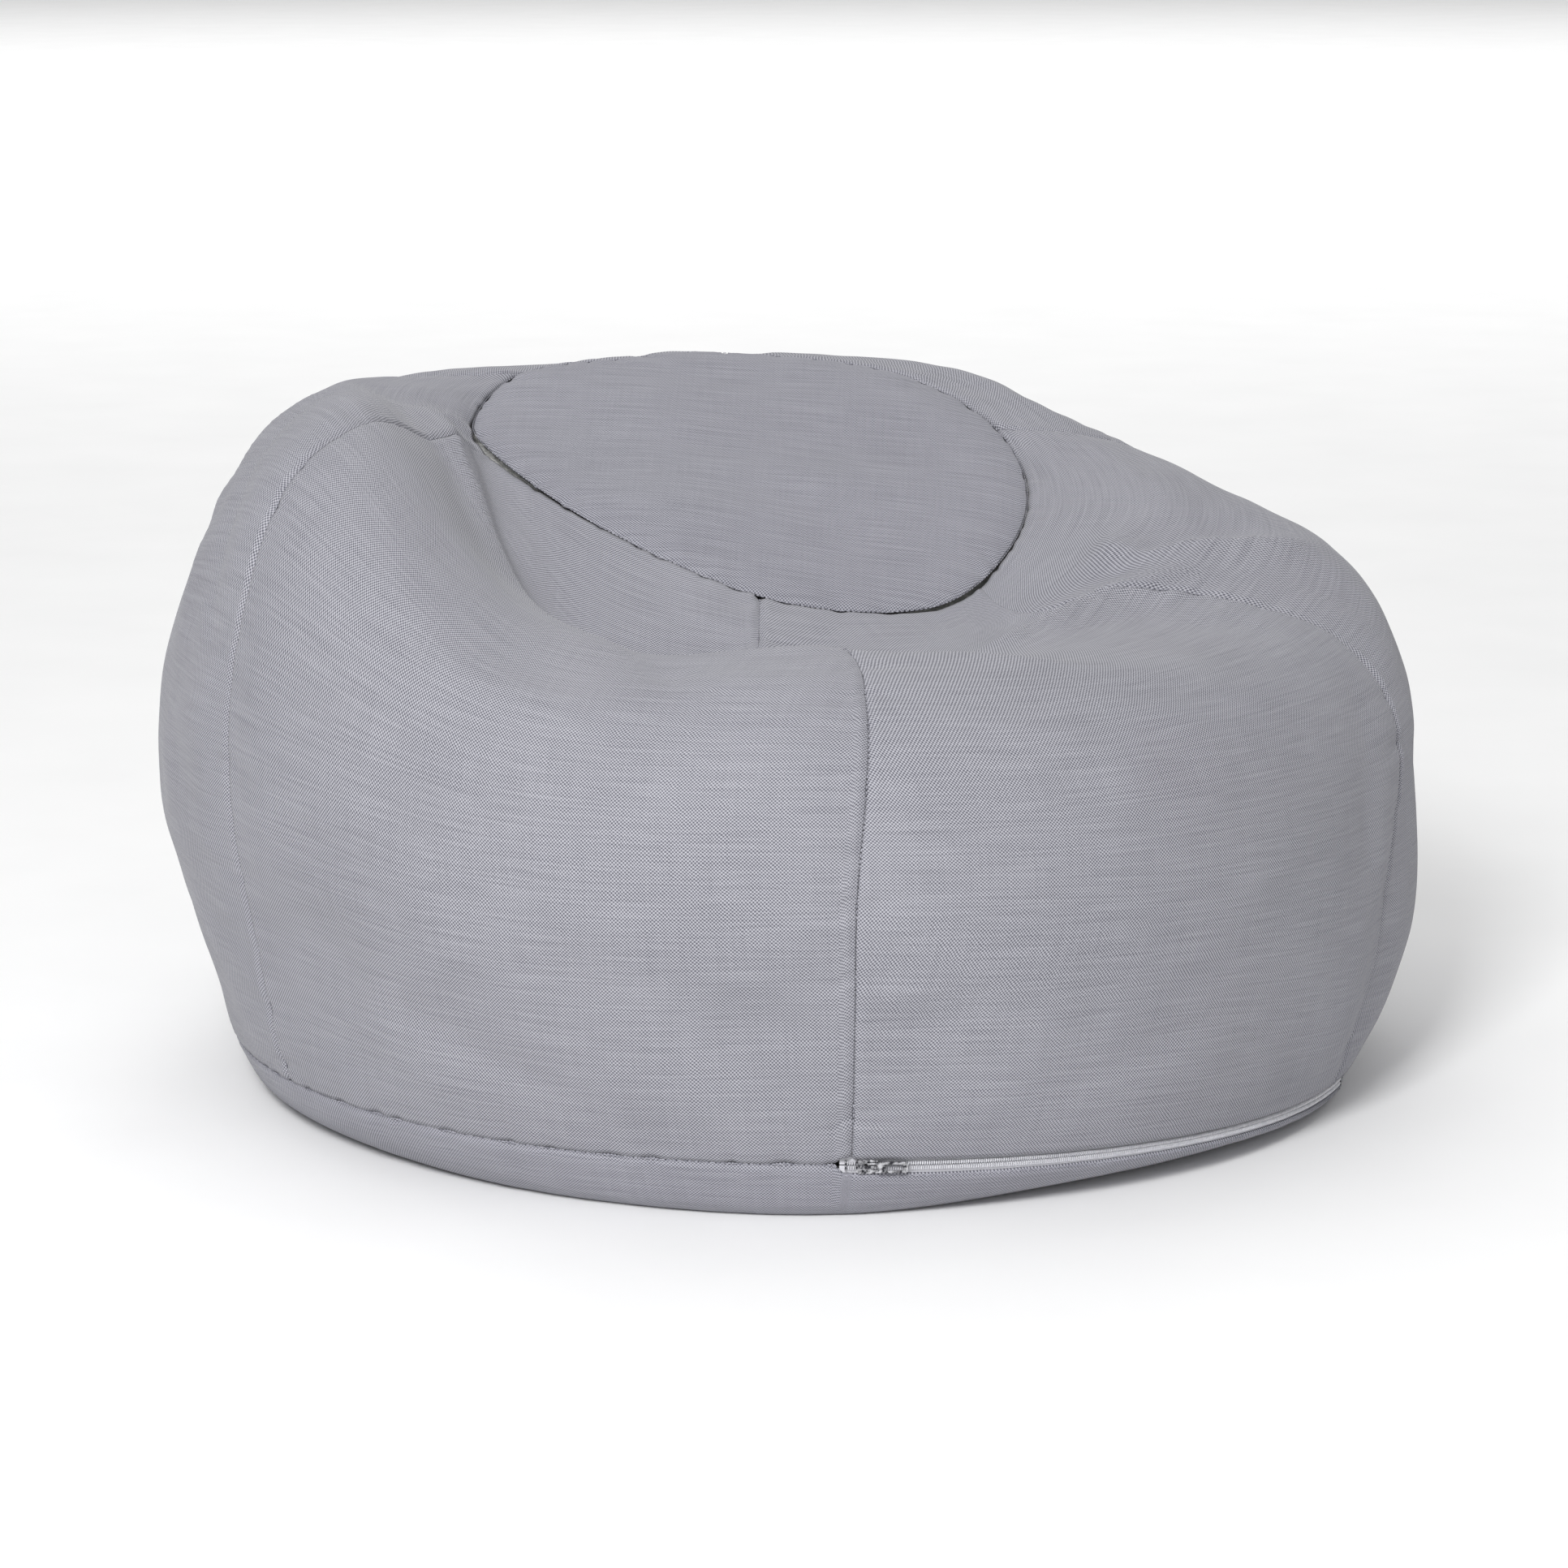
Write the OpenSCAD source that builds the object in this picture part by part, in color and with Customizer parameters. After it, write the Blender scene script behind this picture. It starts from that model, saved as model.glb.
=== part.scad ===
// Round bean bag chair: a six-panel woven cover with a sunken round seat panel,
// a coil zip in its base seam, and a liner bag full of beads inside it.
// Origin: middle of the footprint, on the floor. +X right, +Y back, +Z up.
// Azimuths run from the front (-Y) towards +X.

/* [Bag] */
// Width of the bag across its belly
bag_w = 870; // [760:10:980]
// Height of the bag at its back rim
bag_h = 475; // [420:5:540]
// Thickness of the woven cover
cover_t = 2; // [1.2:0.2:2.6]
// Thickness of the base panel
base_t = 2.4; // [1.6:0.2:3]

/* [Seat panel] */
// Radius of the round seat panel
disc_r = 195; // [170:5:210]
// Slope of the seat panel down towards the front
disc_tilt = 21; // [16:1:25]
// Slope of the seat panel down towards the right
disc_roll = 5; // [2:1:8]
// Height of the soft crown in the middle of the seat panel
disc_crown = 6; // [0:1:12]

/* [Zip] */
// Width of the closed chain of coils
chain_w = 6; // [5:0.5:6.5]
// Thickness of the coils
chain_t = 2.6; // [2:0.1:2.8]
// Azimuth where the zip tape starts
zip_from = 4; // [3:0.5:4.5]
// Azimuth where the zip tape ends
zip_to = 74; // [60:1:78]
// Azimuth of the slider when the zip is closed
slider_az = 7.4; // [7.4:0.1:12]
// Length of the pull tab from its hinge pin
pull_len = 25; // [20:1:30]

/* [Liner and beads] */
// Thickness of the liner cloth
liner_t = 1.2; // [0.8:0.2:1.6]
// Distance of the liner inside the cover's outer surface
liner_in = 10; // [9:0.5:12]
// Distance of the bead fill inside the cover's outer surface
fill_in = 18; // [17:0.5:22]

/* [Hidden] */

// Colours of the cloth and the fittings
CLOTH = [0.66, 0.66, 0.69];
THREAD = [0.50, 0.50, 0.53];
TAPE = [0.76, 0.76, 0.77];
NICKEL = [0.72, 0.72, 0.73];
LINER = [0.93, 0.93, 0.91];
BEADS = [0.97, 0.97, 0.97];

// The shape is drawn 870 wide and 475 high, and scaled from there
drawn_w = 870;
drawn_h = 475;
k_plan = bag_w / drawn_w;
k_high = bag_h / drawn_h;

// Twelve stations go round the bag: even ones are the panel seams, odd ones panel middles.
// Each has six points up the side, as azimuth, radius, height:
// low side, belly, shoulder, brow, crest and valley.
STATIONS = 12;
SIDE = [
  [[6, 420, 130], [6, 430, 215], [7, 414, 280], [8, 374, 328], [8, 300, 350], [357, 205, 312]],
  [[37, 422, 125], [38, 432, 205], [38, 415, 275], [38, 376, 320], [37, 305, 343], [33, 220, 330]],
  [[69, 431, 98], [73, 431, 190], [77, 420, 265], [77, 382, 325], [73, 292, 347], [62, 190, 340]],
  [[97, 434, 98], [97, 434, 205], [97, 420, 297], [96, 388, 355], [95, 322, 383], [92, 245, 395]],
  [[127, 427, 112], [127, 436, 215], [127, 420, 305], [126, 385, 360], [126, 330, 396], [127, 266, 428]],
  [[157, 422, 125], [157, 432, 225], [157, 420, 315], [157, 390, 380], [156, 345, 432], [155, 285, 459]],
  [[187, 418, 130], [187, 430, 230], [187, 420, 322], [187, 390, 390], [187, 345, 437], [187, 285, 467]],
  [[217, 416, 130], [217, 430, 235], [217, 418, 327], [217, 388, 400], [216, 340, 442], [213, 290, 464]],
  [[247, 415, 140], [247, 432, 240], [247, 413, 335], [247, 384, 408], [243, 336, 457], [235, 296, 468]],
  [[275, 415, 150], [275, 433, 238], [275, 412, 328], [273, 382, 406], [267, 322, 469], [254, 275, 458]],
  [[303, 418, 145], [303, 433, 235], [301, 421, 330], [297, 369, 430], [288, 292, 470], [267, 240, 434]],
  [[335, 418, 130], [335, 432, 215], [334, 415, 285], [333, 372, 338], [330, 293, 358], [322, 215, 322]]
];
// Azimuth of each station along the base seam
SEAM_AZ = [6, 37, 67, 97, 127, 157, 187, 217, 247, 275, 303, 335];
// Radius of the base seam at each station: a true circle of 400 along the zip
SEAM_R = [400, 400, 400, 400, 400, 400, 398, 396, 393, 388, 391, 398];
// Height of the base seam where it has no zip; the zip's stretch lies in a tilted plane
SEAM_HIGH = [40, 30, 17, 11, 11, 13, 16, 20, 26, 34, 41, 43];
// Radius of the flat that rests on the floor
FLOOR_R = [372, 350, 375, 382, 375, 372, 370, 368, 364, 362, 354, 360];
// Seat panel's edge: azimuth in its own plane, share of its radius, lift off the plane
SEAT_EDGE = [
  [1, 0.93, 8], [30, 1.02, 0], [51, 1.02, 0], [86, 0.99, 0], [119, 1.02, 0], [150, 1, 0],
  [190, 0.95, -4], [213, 0.97, -4], [234, 1.08, -3], [256, 1.06, 0], [273, 0.97, 6], [318, 0.83, 16]
];
// Middle of the seat panel
SEAT_MID = [-20 * k_plan, 75 * k_plan, 407 * k_high];

// Base seam: radius, and the tilted plane that the zip's stretch lies in
seam_r = 400 * k_plan;
seam_z = 21.5 * k_high;
seam_tilt = [-2.9, 1.9];
// The seam leaves the tilted plane between these stations, where the zip has ended
zip_leave = 2.4;
zip_join = 11.7;

// Rows up the side: 0 and 1 on the floor, 2 the base seam, 3 to 8 the side, 9 the seat edge
ROWS = 10;
SEAM_ROW = 2;
SEAT_ROW = 9;
floor_inset = 60;

// Gaps that the seams leave between the panels
stitch_gap = 1.8;
seat_gap = 2.5;
zip_gap = 5.6;
zip_gap_low = 8.8;
thread_r = 0.4;

// Columns across a panel and rows up it
PANEL_COLS = 12;
PANEL_ROWS = 18;
LINER_COLS = 8;
RING_COLS = 36;
SEAT_RINGS = 5;

// Zip, measured outwards from the seam's radius
tape_t = 0.6;
tape_out = -2.4;
tape_up = 13;
tape_down = 5;
coil_in = tape_out + 0.05;
coil_out = coil_in + chain_t;
chain_gap = 0.75;
slack = 0.35;
plate_t = 1.35;
slider_len = 15;
slider_half = 4.4;
web_t = 0.7;
crown_half = 1.3;
crown_high = 3.5;
crown_bore = 2.2;
pin_r = 0.8;
pin_out = coil_out + slack + plate_t + crown_bore / 2;
pull_half = 3.6;
pull_t = 1.2;
arm_in = crown_half + 0.4;
arm_out = 2.8;
yoke_x = 5.3;
stop_w = 1.2;
arc_steps = 240;

// Liner and its zip
liner_low = base_t + 1.4;
fill_low = liner_low + liner_t + 1.4;
seam_lean = 20;
liner_r = seam_r - liner_in * cos(seam_lean);
liner_z = seam_z + liner_in * sin(seam_lean);
liner_zip_from = 8;
liner_zip_to = 66;
liner_slider_az = 11;
liner_zip_gap = 6.5;
liner_zip_gap_low = 10;
liner_seat_gap = 9;
liner_thread_r = 0.35;
liner_tape_t = 0.5;
liner_tape_out = -2.1;
liner_tape_half = 4;
liner_coil_t = 1.85;
liner_chain_half = 2.1;
liner_chain_gap = 0.6;
liner_plate_t = 0.95;
liner_slider_half = 3.3;
liner_slider_len = 9;
liner_web_t = 0.5;

// ---------- curves and surfaces ----------

// Smooth curve through p1 and p2, with neighbours p0 and p3
function spline(p0, p1, p2, p3, t) =
  0.5 * (2 * p1 + (p2 - p0) * t + (2 * p0 - 5 * p1 + 4 * p2 - p3) * t * t
    + (3 * p1 - p0 - 3 * p2 + p3) * t * t * t);

function wrapped(k) = (k % STATIONS + STATIONS) % STATIONS;
function at(az, r, z) = [r * sin(az), -r * cos(az), z];
function unit(v) = v / norm(v);
function ramp(a, b, x) = let (t = max(0, min(1, (x - a) / (b - a)))) t * t * (3 - 2 * t);

// A point of a plane tilted by rotate([tilt[0], tilt[1], 0]) about the origin
function tilted(p, tilt) = let (
    y = p[1] * cos(tilt[0]) - p[2] * sin(tilt[0]),
    z = p[1] * sin(tilt[0]) + p[2] * cos(tilt[0])
  ) [p[0] * cos(tilt[1]) + z * sin(tilt[1]), y, z * cos(tilt[1]) - p[0] * sin(tilt[1])];

// Value of a list of azimuths at station u, counting on past a full turn
function turned(list, k) = list[wrapped(k)] + 360 * floor(k / STATIONS);
function azimuth(list, u) = let (i = floor(u), f = u - i)
  spline(turned(list, i - 1), turned(list, i), turned(list, i + 1), turned(list, i + 2), f);
function smooth(list, u) = let (i = floor(u), f = u - i)
  spline(list[wrapped(i - 1)], list[wrapped(i)], list[wrapped(i + 1)], list[wrapped(i + 2)], f);

// 1 along the zip's stretch of the base seam, 0 elsewhere
function zipped(u) = let (w = u - STATIONS * floor(u / STATIONS))
  max(1 - ramp(zip_leave - 0.15, zip_leave, w), ramp(zip_join, zip_join + 0.15, w));

// The base seam, tilted along the zip
function base_seam(u) = let (
    az = azimuth(SEAM_AZ, u),
    flat = at(az, smooth(SEAM_R, u) * k_plan, smooth(SEAM_HIGH, u) * k_high),
    tilt = tilted(at(az, seam_r, 0), seam_tilt) + [0, 0, seam_z],
    s = zipped(u)
  ) flat * (1 - s) + tilt * s;

// The seat panel's plane
SEAT_X = [cos(disc_roll), 0, -sin(disc_roll)];
SEAT_Y = [0, cos(disc_tilt), sin(disc_tilt)];
SEAT_N = unit(cross(SEAT_X, SEAT_Y));
function seat_edge(k) = let (e = SEAT_EDGE[k], r = disc_r * k_plan * e[1])
  SEAT_MID + r * (sin(e[0]) * SEAT_X - cos(e[0]) * SEAT_Y) + e[2] * k_high * SEAT_N;

function column(k) = concat(
  [at(SEAM_AZ[k], (FLOOR_R[k] - floor_inset) * k_plan, 0), at(SEAM_AZ[k], FLOOR_R[k] * k_plan, 0)],
  [base_seam(k)],
  [for (p = SIDE[k]) at(p[0], p[1] * k_plan, p[2] * k_high)],
  [seat_edge(k)]
);
COLUMNS = [for (k = [0:STATIONS - 1]) column(k)];
function row_point(j, u) = j == SEAM_ROW ? base_seam(u) : smooth([for (c = COLUMNS) c[j]], u);

// The cover's outer surface at station u and row v
function skin(u, v) = let (
    j = min(floor(v), ROWS - 2),
    p = [for (i = [j - 1:j + 2]) row_point(max(0, min(ROWS - 1, i)), u)]
  ) spline(p[0], p[1], p[2], p[3], v - j);

// Its outward normal
NEAR = 0.02;
function normal(u, v) = let (lo = max(v - NEAR, 0), hi = min(v + NEAR, SEAT_ROW))
  unit(cross(skin(u + NEAR, v) - skin(u - NEAR, v), skin(u, hi) - skin(u, lo)));
function inside(u, v, t) = skin(u, v) - t * normal(u, v);
function inset(uv, t) = t == 0 ? skin(uv[0], uv[1]) : inside(uv[0], uv[1], t);

// Stations of surface taken by a gap of d across a side seam
function stations_wide(u, v, d) = 2 * NEAR * d / norm(skin(u + NEAR, v) - skin(u - NEAR, v));
// Rows of surface taken by a gap of d above or below the base seam
function rows_high(u, v, d) = NEAR * d / norm(skin(u, v + NEAR) - skin(u, v));
function rows_above(u, d) = rows_high(u, SEAM_ROW, d);
function rows_below(u, d) = rows_high(u, SEAM_ROW - NEAR, d);
function hem(u, zip_d) = stitch_gap + (zip_d - stitch_gap) * zipped(u);

// A point t inside the cover's outer surface, but no lower than the given height
function held_up(p, low) = [p[0], p[1], max(p[2], low)];
function within(u, v, t, low) = held_up(inside(u, v, t), low);

// ---------- solids from grids of points ----------

function flat_list(rows) = [for (row = rows) each row];

// Closed sheet between an outer and an inner grid, each a list of columns
module sheet(outer, inner) {
  n = len(outer) - 1;
  m = len(outer[0]) - 1;
  w = m + 1;
  all = len(outer) * w;
  polyhedron(
    points = concat(flat_list(outer), flat_list(inner)),
    faces = concat(
      [for (i = [0:n - 1], j = [0:m - 1]) let (a = i * w + j, b = a + w)
        each [[a, a + 1, b + 1], [a, b + 1, b],
              [all + a, all + b + 1, all + a + 1], [all + a, all + b, all + b + 1]]],
      [for (i = [0:n - 1]) let (a = i * w, b = a + w, c = a + m, d = b + m)
        each [[a, b, all + b], [a, all + b, all + a],
              [d, c, all + c], [d, all + c, all + d]]],
      [for (j = [0:m - 1]) let (a = j, b = n * w + j)
        each [[a + 1, a, all + a], [a + 1, all + a, all + a + 1],
              [b, b + 1, all + b + 1], [b, all + b + 1, all + b]]]
    )
  );
}

// Closed skin through rings of points, from a first pole to a last pole
module loft(first, rings, last) {
  n = len(rings[0]);
  top = len(rings) - 1;
  end = 1 + len(rings) * n;
  polyhedron(
    points = concat([first], flat_list(rings), [last]),
    faces = concat(
      [for (i = [0:n - 1]) [0, 1 + i, 1 + (i + 1) % n]],
      [for (k = [0:top - 1], i = [0:n - 1])
        let (a = 1 + k * n + i, b = 1 + k * n + (i + 1) % n)
        each [[a, a + n, b + n], [a, b + n, b]]],
      [for (i = [0:n - 1]) [end, 1 + top * n + (i + 1) % n, 1 + top * n + i]]
    )
  );
}

// Thread along a list of [point, normal] pairs; a closed one joins its ends
THREAD_SIDES = 6;
function thread_ring(path, i, r, closed) = let (
    n = len(path),
    a = closed ? (i + n - 1) % n : max(i - 1, 0),
    b = closed ? (i + 1) % n : min(i + 1, n - 1),
    along = unit(path[b][0] - path[a][0]),
    side = unit(cross(along, path[i][1])),
    up = cross(side, along)
  ) [for (s = [0:THREAD_SIDES - 1]) let (q = s * 360 / THREAD_SIDES)
      path[i][0] + r * (cos(q) * up + sin(q) * side)];
module thread(path, r, closed = false) {
  n = len(path);
  w = THREAD_SIDES;
  rings = closed ? n : n - 1;
  polyhedron(
    points = [for (i = [0:n - 1]) each thread_ring(path, i, r, closed)],
    faces = concat(
      [for (i = [0:rings - 1], s = [0:w - 1])
        let (a = i * w + s, b = i * w + (s + 1) % w, c = (i + 1) % n * w)
        each [[a, c + s, c + (s + 1) % w], [a, c + (s + 1) % w, b]]],
      closed ? [] : [[for (s = [0:w - 1]) s], [for (s = [w - 1:-1:0]) (n - 1) * w + s]]
    )
  );
}

// ---------- cover ----------

// Panel between seam s and the next one, two stations on: column i of cols, row j.
// Its edges stop short of the side seams by stitch_gap, of the zip by zip_d and of
// the seat seam by seat_d.
function panel_v(u, j, zip_d, seat_d) = let (
    low = SEAM_ROW + rows_above(u, hem(u, zip_d)),
    high = SEAT_ROW - rows_high(u, SEAT_ROW - 2 * NEAR, seat_d)
  ) low + (high - low) * j / PANEL_ROWS;
function panel_uv(s, i, cols, j, zip_d, seat_d) = let (
    v = panel_v(s + 2 * i / cols, j, zip_d, seat_d),
    from = s + stations_wide(s, v, stitch_gap),
    to = s + 2 - stations_wide(s + 2, v, stitch_gap)
  ) [from + (to - from) * i / cols, v];
module panel(s, cols, zip_d, seat_d, out, in) {
  function grid(t) = [for (i = [0:cols])
    [for (j = [0:PANEL_ROWS]) inset(panel_uv(s, i, cols, j, zip_d, seat_d), t)]];
  sheet(grid(out), grid(in));
}
module side_panel(s) color(CLOTH) panel(s, PANEL_COLS, zip_gap, seat_gap, 0, cover_t);

function ring_u(i, cols) = i * STATIONS / cols;

// Point of the seat panel: share s of the way from its middle to its edge
function seat_point(u, s) = SEAT_MID + s * (skin(u, SEAT_ROW) - SEAT_MID)
  + SEAT_N * disc_crown * (1 - s * s);
module seat_panel() {
  rim = 1 - seat_gap / disc_r;
  cols = [0:RING_COLS - 1];
  function ring(s, t) = [for (i = cols) seat_point(ring_u(i, RING_COLS), s) - t * SEAT_N];
  color(CLOTH) loft(
    seat_point(0, 0) - cover_t * SEAT_N,
    concat([for (k = [1:SEAT_RINGS]) ring(rim * k / SEAT_RINGS, cover_t)],
           [for (k = [SEAT_RINGS:-1:1]) ring(rim * k / SEAT_RINGS, 0)]),
    seat_point(0, 0)
  );
}

BASE_RINGS = 4;
module base_panel() {
  cols = [0:RING_COLS * 2 - 1];
  function u(i) = ring_u(i, RING_COLS * 2);
  function v(i, k) = 1 + k / BASE_RINGS * (1 - rows_below(u(i), hem(u(i), zip_gap_low)));
  function lining(i, k) = within(u(i), v(i, k), base_t, base_t);
  color(CLOTH) loft(
    [0, 0, 0],
    concat([for (k = [0:BASE_RINGS]) [for (i = cols) held_up(skin(u(i), v(i, k)), 0)]],
           [for (k = [BASE_RINGS:-1:0]) [for (i = cols) lining(i, k)]]),
    [0, 0, base_t]
  );
}

// Thread down each of the six side seams, t inside the cover's outer surface
module seam_threads(zip_d, seat_d, t, r) for (s = [0:2:STATIONS - 1])
  thread([for (j = [0:PANEL_ROWS]) let (v = panel_v(s, j, zip_d + 1, seat_d))
    [inside(s, v, t), normal(s, v)]], r);
module side_seam_thread() color(THREAD) seam_threads(zip_gap, seat_gap, cover_t / 2, thread_r);

module seat_seam_thread() {
  color(THREAD) thread([for (i = [0:RING_COLS * 2 - 1]) let (u = ring_u(i, RING_COLS * 2))
    [skin(u, SEAT_ROW) - cover_t / 2 * SEAT_N, SEAT_N]], thread_r, closed = true);
}

// Stitch line on the base panel, just below its seam
module base_seam_thread() {
  color(THREAD) thread([for (i = [0:RING_COLS * 2 - 1])
    let (u = ring_u(i, RING_COLS * 2), v = SEAM_ROW - rows_below(u, hem(u, zip_gap_low) + 2))
    [inside(u, v, -thread_r * 2), normal(u, v)]], thread_r, closed = true);
}

// ---------- zips ----------

module seam_plane(z) translate([0, 0, z]) rotate([seam_tilt[0], seam_tilt[1], 0]) children();
// Band round the axis: from and to as radius, height and azimuth
module arc(r, z, az)
  rotate([0, 0, az[0] - 90]) rotate_extrude(angle = az[1] - az[0], $fn = arc_steps)
    translate([r[0], z[0]]) square([r[1] - r[0], z[1] - z[0]]);
// Local frame on the seam: x along it, -y outwards, z across it
module on_seam(r, az) rotate([0, 0, az]) translate([0, -r, 0]) children();
// Plate facing outwards, from one distance to another
module plate(out) rotate([90, 0, 0]) translate([0, 0, out[0]]) linear_extrude(out[1] - out[0]) children();

module zip_tape(side, far) {
  z = side > 0 ? [chain_gap, far] : [-far, -chain_gap];
  color(TAPE) seam_plane(seam_z)
    arc([seam_r + tape_out - tape_t, seam_r + tape_out], z, [zip_from, zip_to]);
}
module zip_upper_tape() zip_tape(1, tape_up);
module zip_lower_tape() zip_tape(-1, tape_down);

coil_ends = [zip_from + 1.6, zip_to - 1.5];
module zip_coil(side) {
  z = side > 0 ? [chain_gap, chain_w / 2] : [-chain_w / 2, -chain_gap];
  color(TAPE) seam_plane(seam_z) arc([seam_r + coil_in, seam_r + coil_out], z, coil_ends);
}
module zip_upper_coil() zip_coil(1);
module zip_lower_coil() zip_coil(-1);

// A small metal staple closes each end of the chain
module stop(z, az) seam_plane(seam_z) on_seam(seam_r, az)
  plate([coil_in, coil_out]) translate([0, z]) square([stop_w, chain_w / 2 - chain_gap], center = true);
stop_z = (chain_w / 2 + chain_gap) / 2;
module zip_top_stops() color(NICKEL) for (side = [-1, 1]) stop(side * stop_z, coil_ends[0] - 0.15);
module zip_bottom_stop() color(NICKEL) seam_plane(seam_z) on_seam(seam_r, coil_ends[1] + 0.15)
  plate([coil_in, coil_out]) square([stop_w, chain_w], center = true);

// Slider plate: broad at its nose, narrower where the closed chain leaves it
module slider_outline(long, half) {
  x = long / 2;
  polygon([[-x, -half * 0.7], [-x * 0.8, -half], [x * 0.2, -half], [x * 0.85, -half * 0.92], [x, -half * 0.7],
           [x, half * 0.7], [x * 0.85, half * 0.92], [x * 0.2, half], [-x * 0.8, half], [-x, half * 0.7]]);
}

module zip_slider() {
  face = coil_out + slack;
  back = tape_out - tape_t - slack;
  rail_in = chain_w / 2 + slack;
  color(NICKEL) seam_plane(seam_z) on_seam(seam_r, slider_az) {
    plate([face, face + plate_t]) slider_outline(slider_len, slider_half);
    plate([back - plate_t, back]) slider_outline(slider_len, slider_half);
    // rails that hold the chain together
    plate([tape_out + slack, face + plate_t / 2]) for (s = [-1, 1])
      translate([-slider_len * 0.4, s > 0 ? rail_in : -slider_half])
        square([slider_len * 0.8, slider_half - rail_in]);
    // wedge that parts the chain, joining both plates
    plate([back - plate_t / 2, face + plate_t / 2])
      translate([-slider_len * 0.45, -web_t / 2]) square([slider_len * 0.3, web_t]);
    // crown that the pull hangs in
    translate([0, 0, -crown_half]) linear_extrude(crown_half * 2) difference() {
      top = face + plate_t + crown_high;
      polygon([[-4.4, -face - plate_t / 2], [-3.4, -top + 0.8], [-2.4, -top],
               [2.4, -top], [3.4, -top + 0.8], [4.4, -face - plate_t / 2]]);
      translate([-2.7, -face - plate_t - crown_bore]) square([5.4, crown_bore]);
    }
  }
}

module zip_pull_tab() {
  slot_from = 11;
  slot_end = 3;
  slot_half = 2;
  color(NICKEL) seam_plane(seam_z) on_seam(seam_r, slider_az) {
    translate([0, -pin_out, 0]) cylinder(r = pin_r, h = arm_out * 2, center = true, $fn = 32);
    plate([pin_out - pull_t / 2, pin_out + pull_t / 2]) {
      for (s = [-1, 1]) translate([0, s > 0 ? arm_in : -arm_out]) square([yoke_x + 1, arm_out - arm_in]);
      difference() {
        union() {
          translate([yoke_x, -arm_out]) square([2, arm_out * 2]);
          translate([yoke_x + 1, -pull_half]) square([pull_len - yoke_x - 1.8, pull_half * 2]);
          translate([yoke_x + 2, -pull_half + 0.8]) square([pull_len - yoke_x - 2, pull_half * 2 - 1.6]);
        }
        translate([slot_from, -slot_half]) square([pull_len - slot_end - slot_from, slot_half * 2]);
      }
    }
  }
}

// ---------- liner and beads ----------

module liner_panel(s)
  color(LINER) panel(s, LINER_COLS, liner_zip_gap, liner_seat_gap, liner_in, liner_in + liner_t);

LINER_RINGS = 3;
module liner_top() {
  rim = 1 - liner_seat_gap / disc_r;
  function ring(s, t) = [for (i = [0:RING_COLS - 1])
    seat_point(ring_u(i, RING_COLS), s) - t * SEAT_N];
  color(LINER) loft(
    seat_point(0, 0) - (liner_in + liner_t) * SEAT_N,
    concat([for (k = [1:LINER_RINGS]) ring(rim * k / LINER_RINGS, liner_in + liner_t)],
           [for (k = [LINER_RINGS:-1:1]) ring(rim * k / LINER_RINGS, liner_in)]),
    seat_point(0, 0) - liner_in * SEAT_N
  );
}

module liner_base() {
  cols = [0:RING_COLS - 1];
  function u(i) = ring_u(i, RING_COLS);
  function v(i, k) = 1 + k / LINER_RINGS * (1 - rows_below(u(i), hem(u(i), liner_zip_gap_low)));
  function shell(k, t, low) = [for (i = cols) within(u(i), v(i, k), t, low)];
  color(LINER) loft(
    [0, 0, liner_low],
    concat([for (k = [0:LINER_RINGS]) shell(k, liner_in, liner_low)],
           [for (k = [LINER_RINGS:-1:0]) shell(k, liner_in + liner_t, liner_low + liner_t)]),
    [0, 0, liner_low + liner_t]
  );
}

module liner_seam_thread()
  color(LINER) seam_threads(liner_zip_gap, liner_seat_gap, liner_in + liner_t / 2, liner_thread_r);

module liner_zip_tape() color(LINER) seam_plane(liner_z) for (z = [liner_chain_gap, -liner_tape_half])
  arc([liner_r + liner_tape_out - liner_tape_t, liner_r + liner_tape_out],
      [z, z + liner_tape_half - liner_chain_gap], [liner_zip_from, liner_zip_to]);

liner_coil = [liner_tape_out + 0.05, liner_tape_out + 0.05 + liner_coil_t];
liner_coil_ends = [liner_zip_from + 0.6, liner_zip_to - 1];
module liner_zip_coil() color(LINER) seam_plane(liner_z) for (z = [liner_chain_gap, -liner_chain_half])
  arc([liner_r + liner_coil[0], liner_r + liner_coil[1]],
      [z, z + liner_chain_half - liner_chain_gap], liner_coil_ends);

module liner_zip_stops() color(NICKEL) seam_plane(liner_z)
  for (az = [liner_coil_ends[0] - 0.15, liner_coil_ends[1] + 0.15]) on_seam(liner_r, az)
    plate(liner_coil) square([1, liner_chain_half * 2], center = true);

// Slider with no pull, so that a child can't open the liner
module liner_zip_slider() {
  face = liner_coil[1] + slack;
  back = liner_tape_out - liner_tape_t - slack;
  rail_in = liner_chain_half + slack;
  color(NICKEL) seam_plane(liner_z) on_seam(liner_r, liner_slider_az) {
    plate([face, face + liner_plate_t]) slider_outline(liner_slider_len, liner_slider_half);
    plate([back - liner_plate_t, back]) slider_outline(liner_slider_len, liner_slider_half);
    plate([liner_tape_out + slack, face + liner_plate_t / 2]) for (s = [-1, 1])
      translate([-liner_slider_len * 0.4, s > 0 ? rail_in : -liner_slider_half])
        square([liner_slider_len * 0.8, liner_slider_half - rail_in]);
    plate([back - liner_plate_t / 2, face + liner_plate_t / 2])
      translate([-liner_slider_len * 0.45, -liner_web_t / 2]) square([liner_slider_len * 0.3, liner_web_t]);
    plate([face, face + liner_plate_t * 2]) square([3, 1.6], center = true);
  }
}

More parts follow.
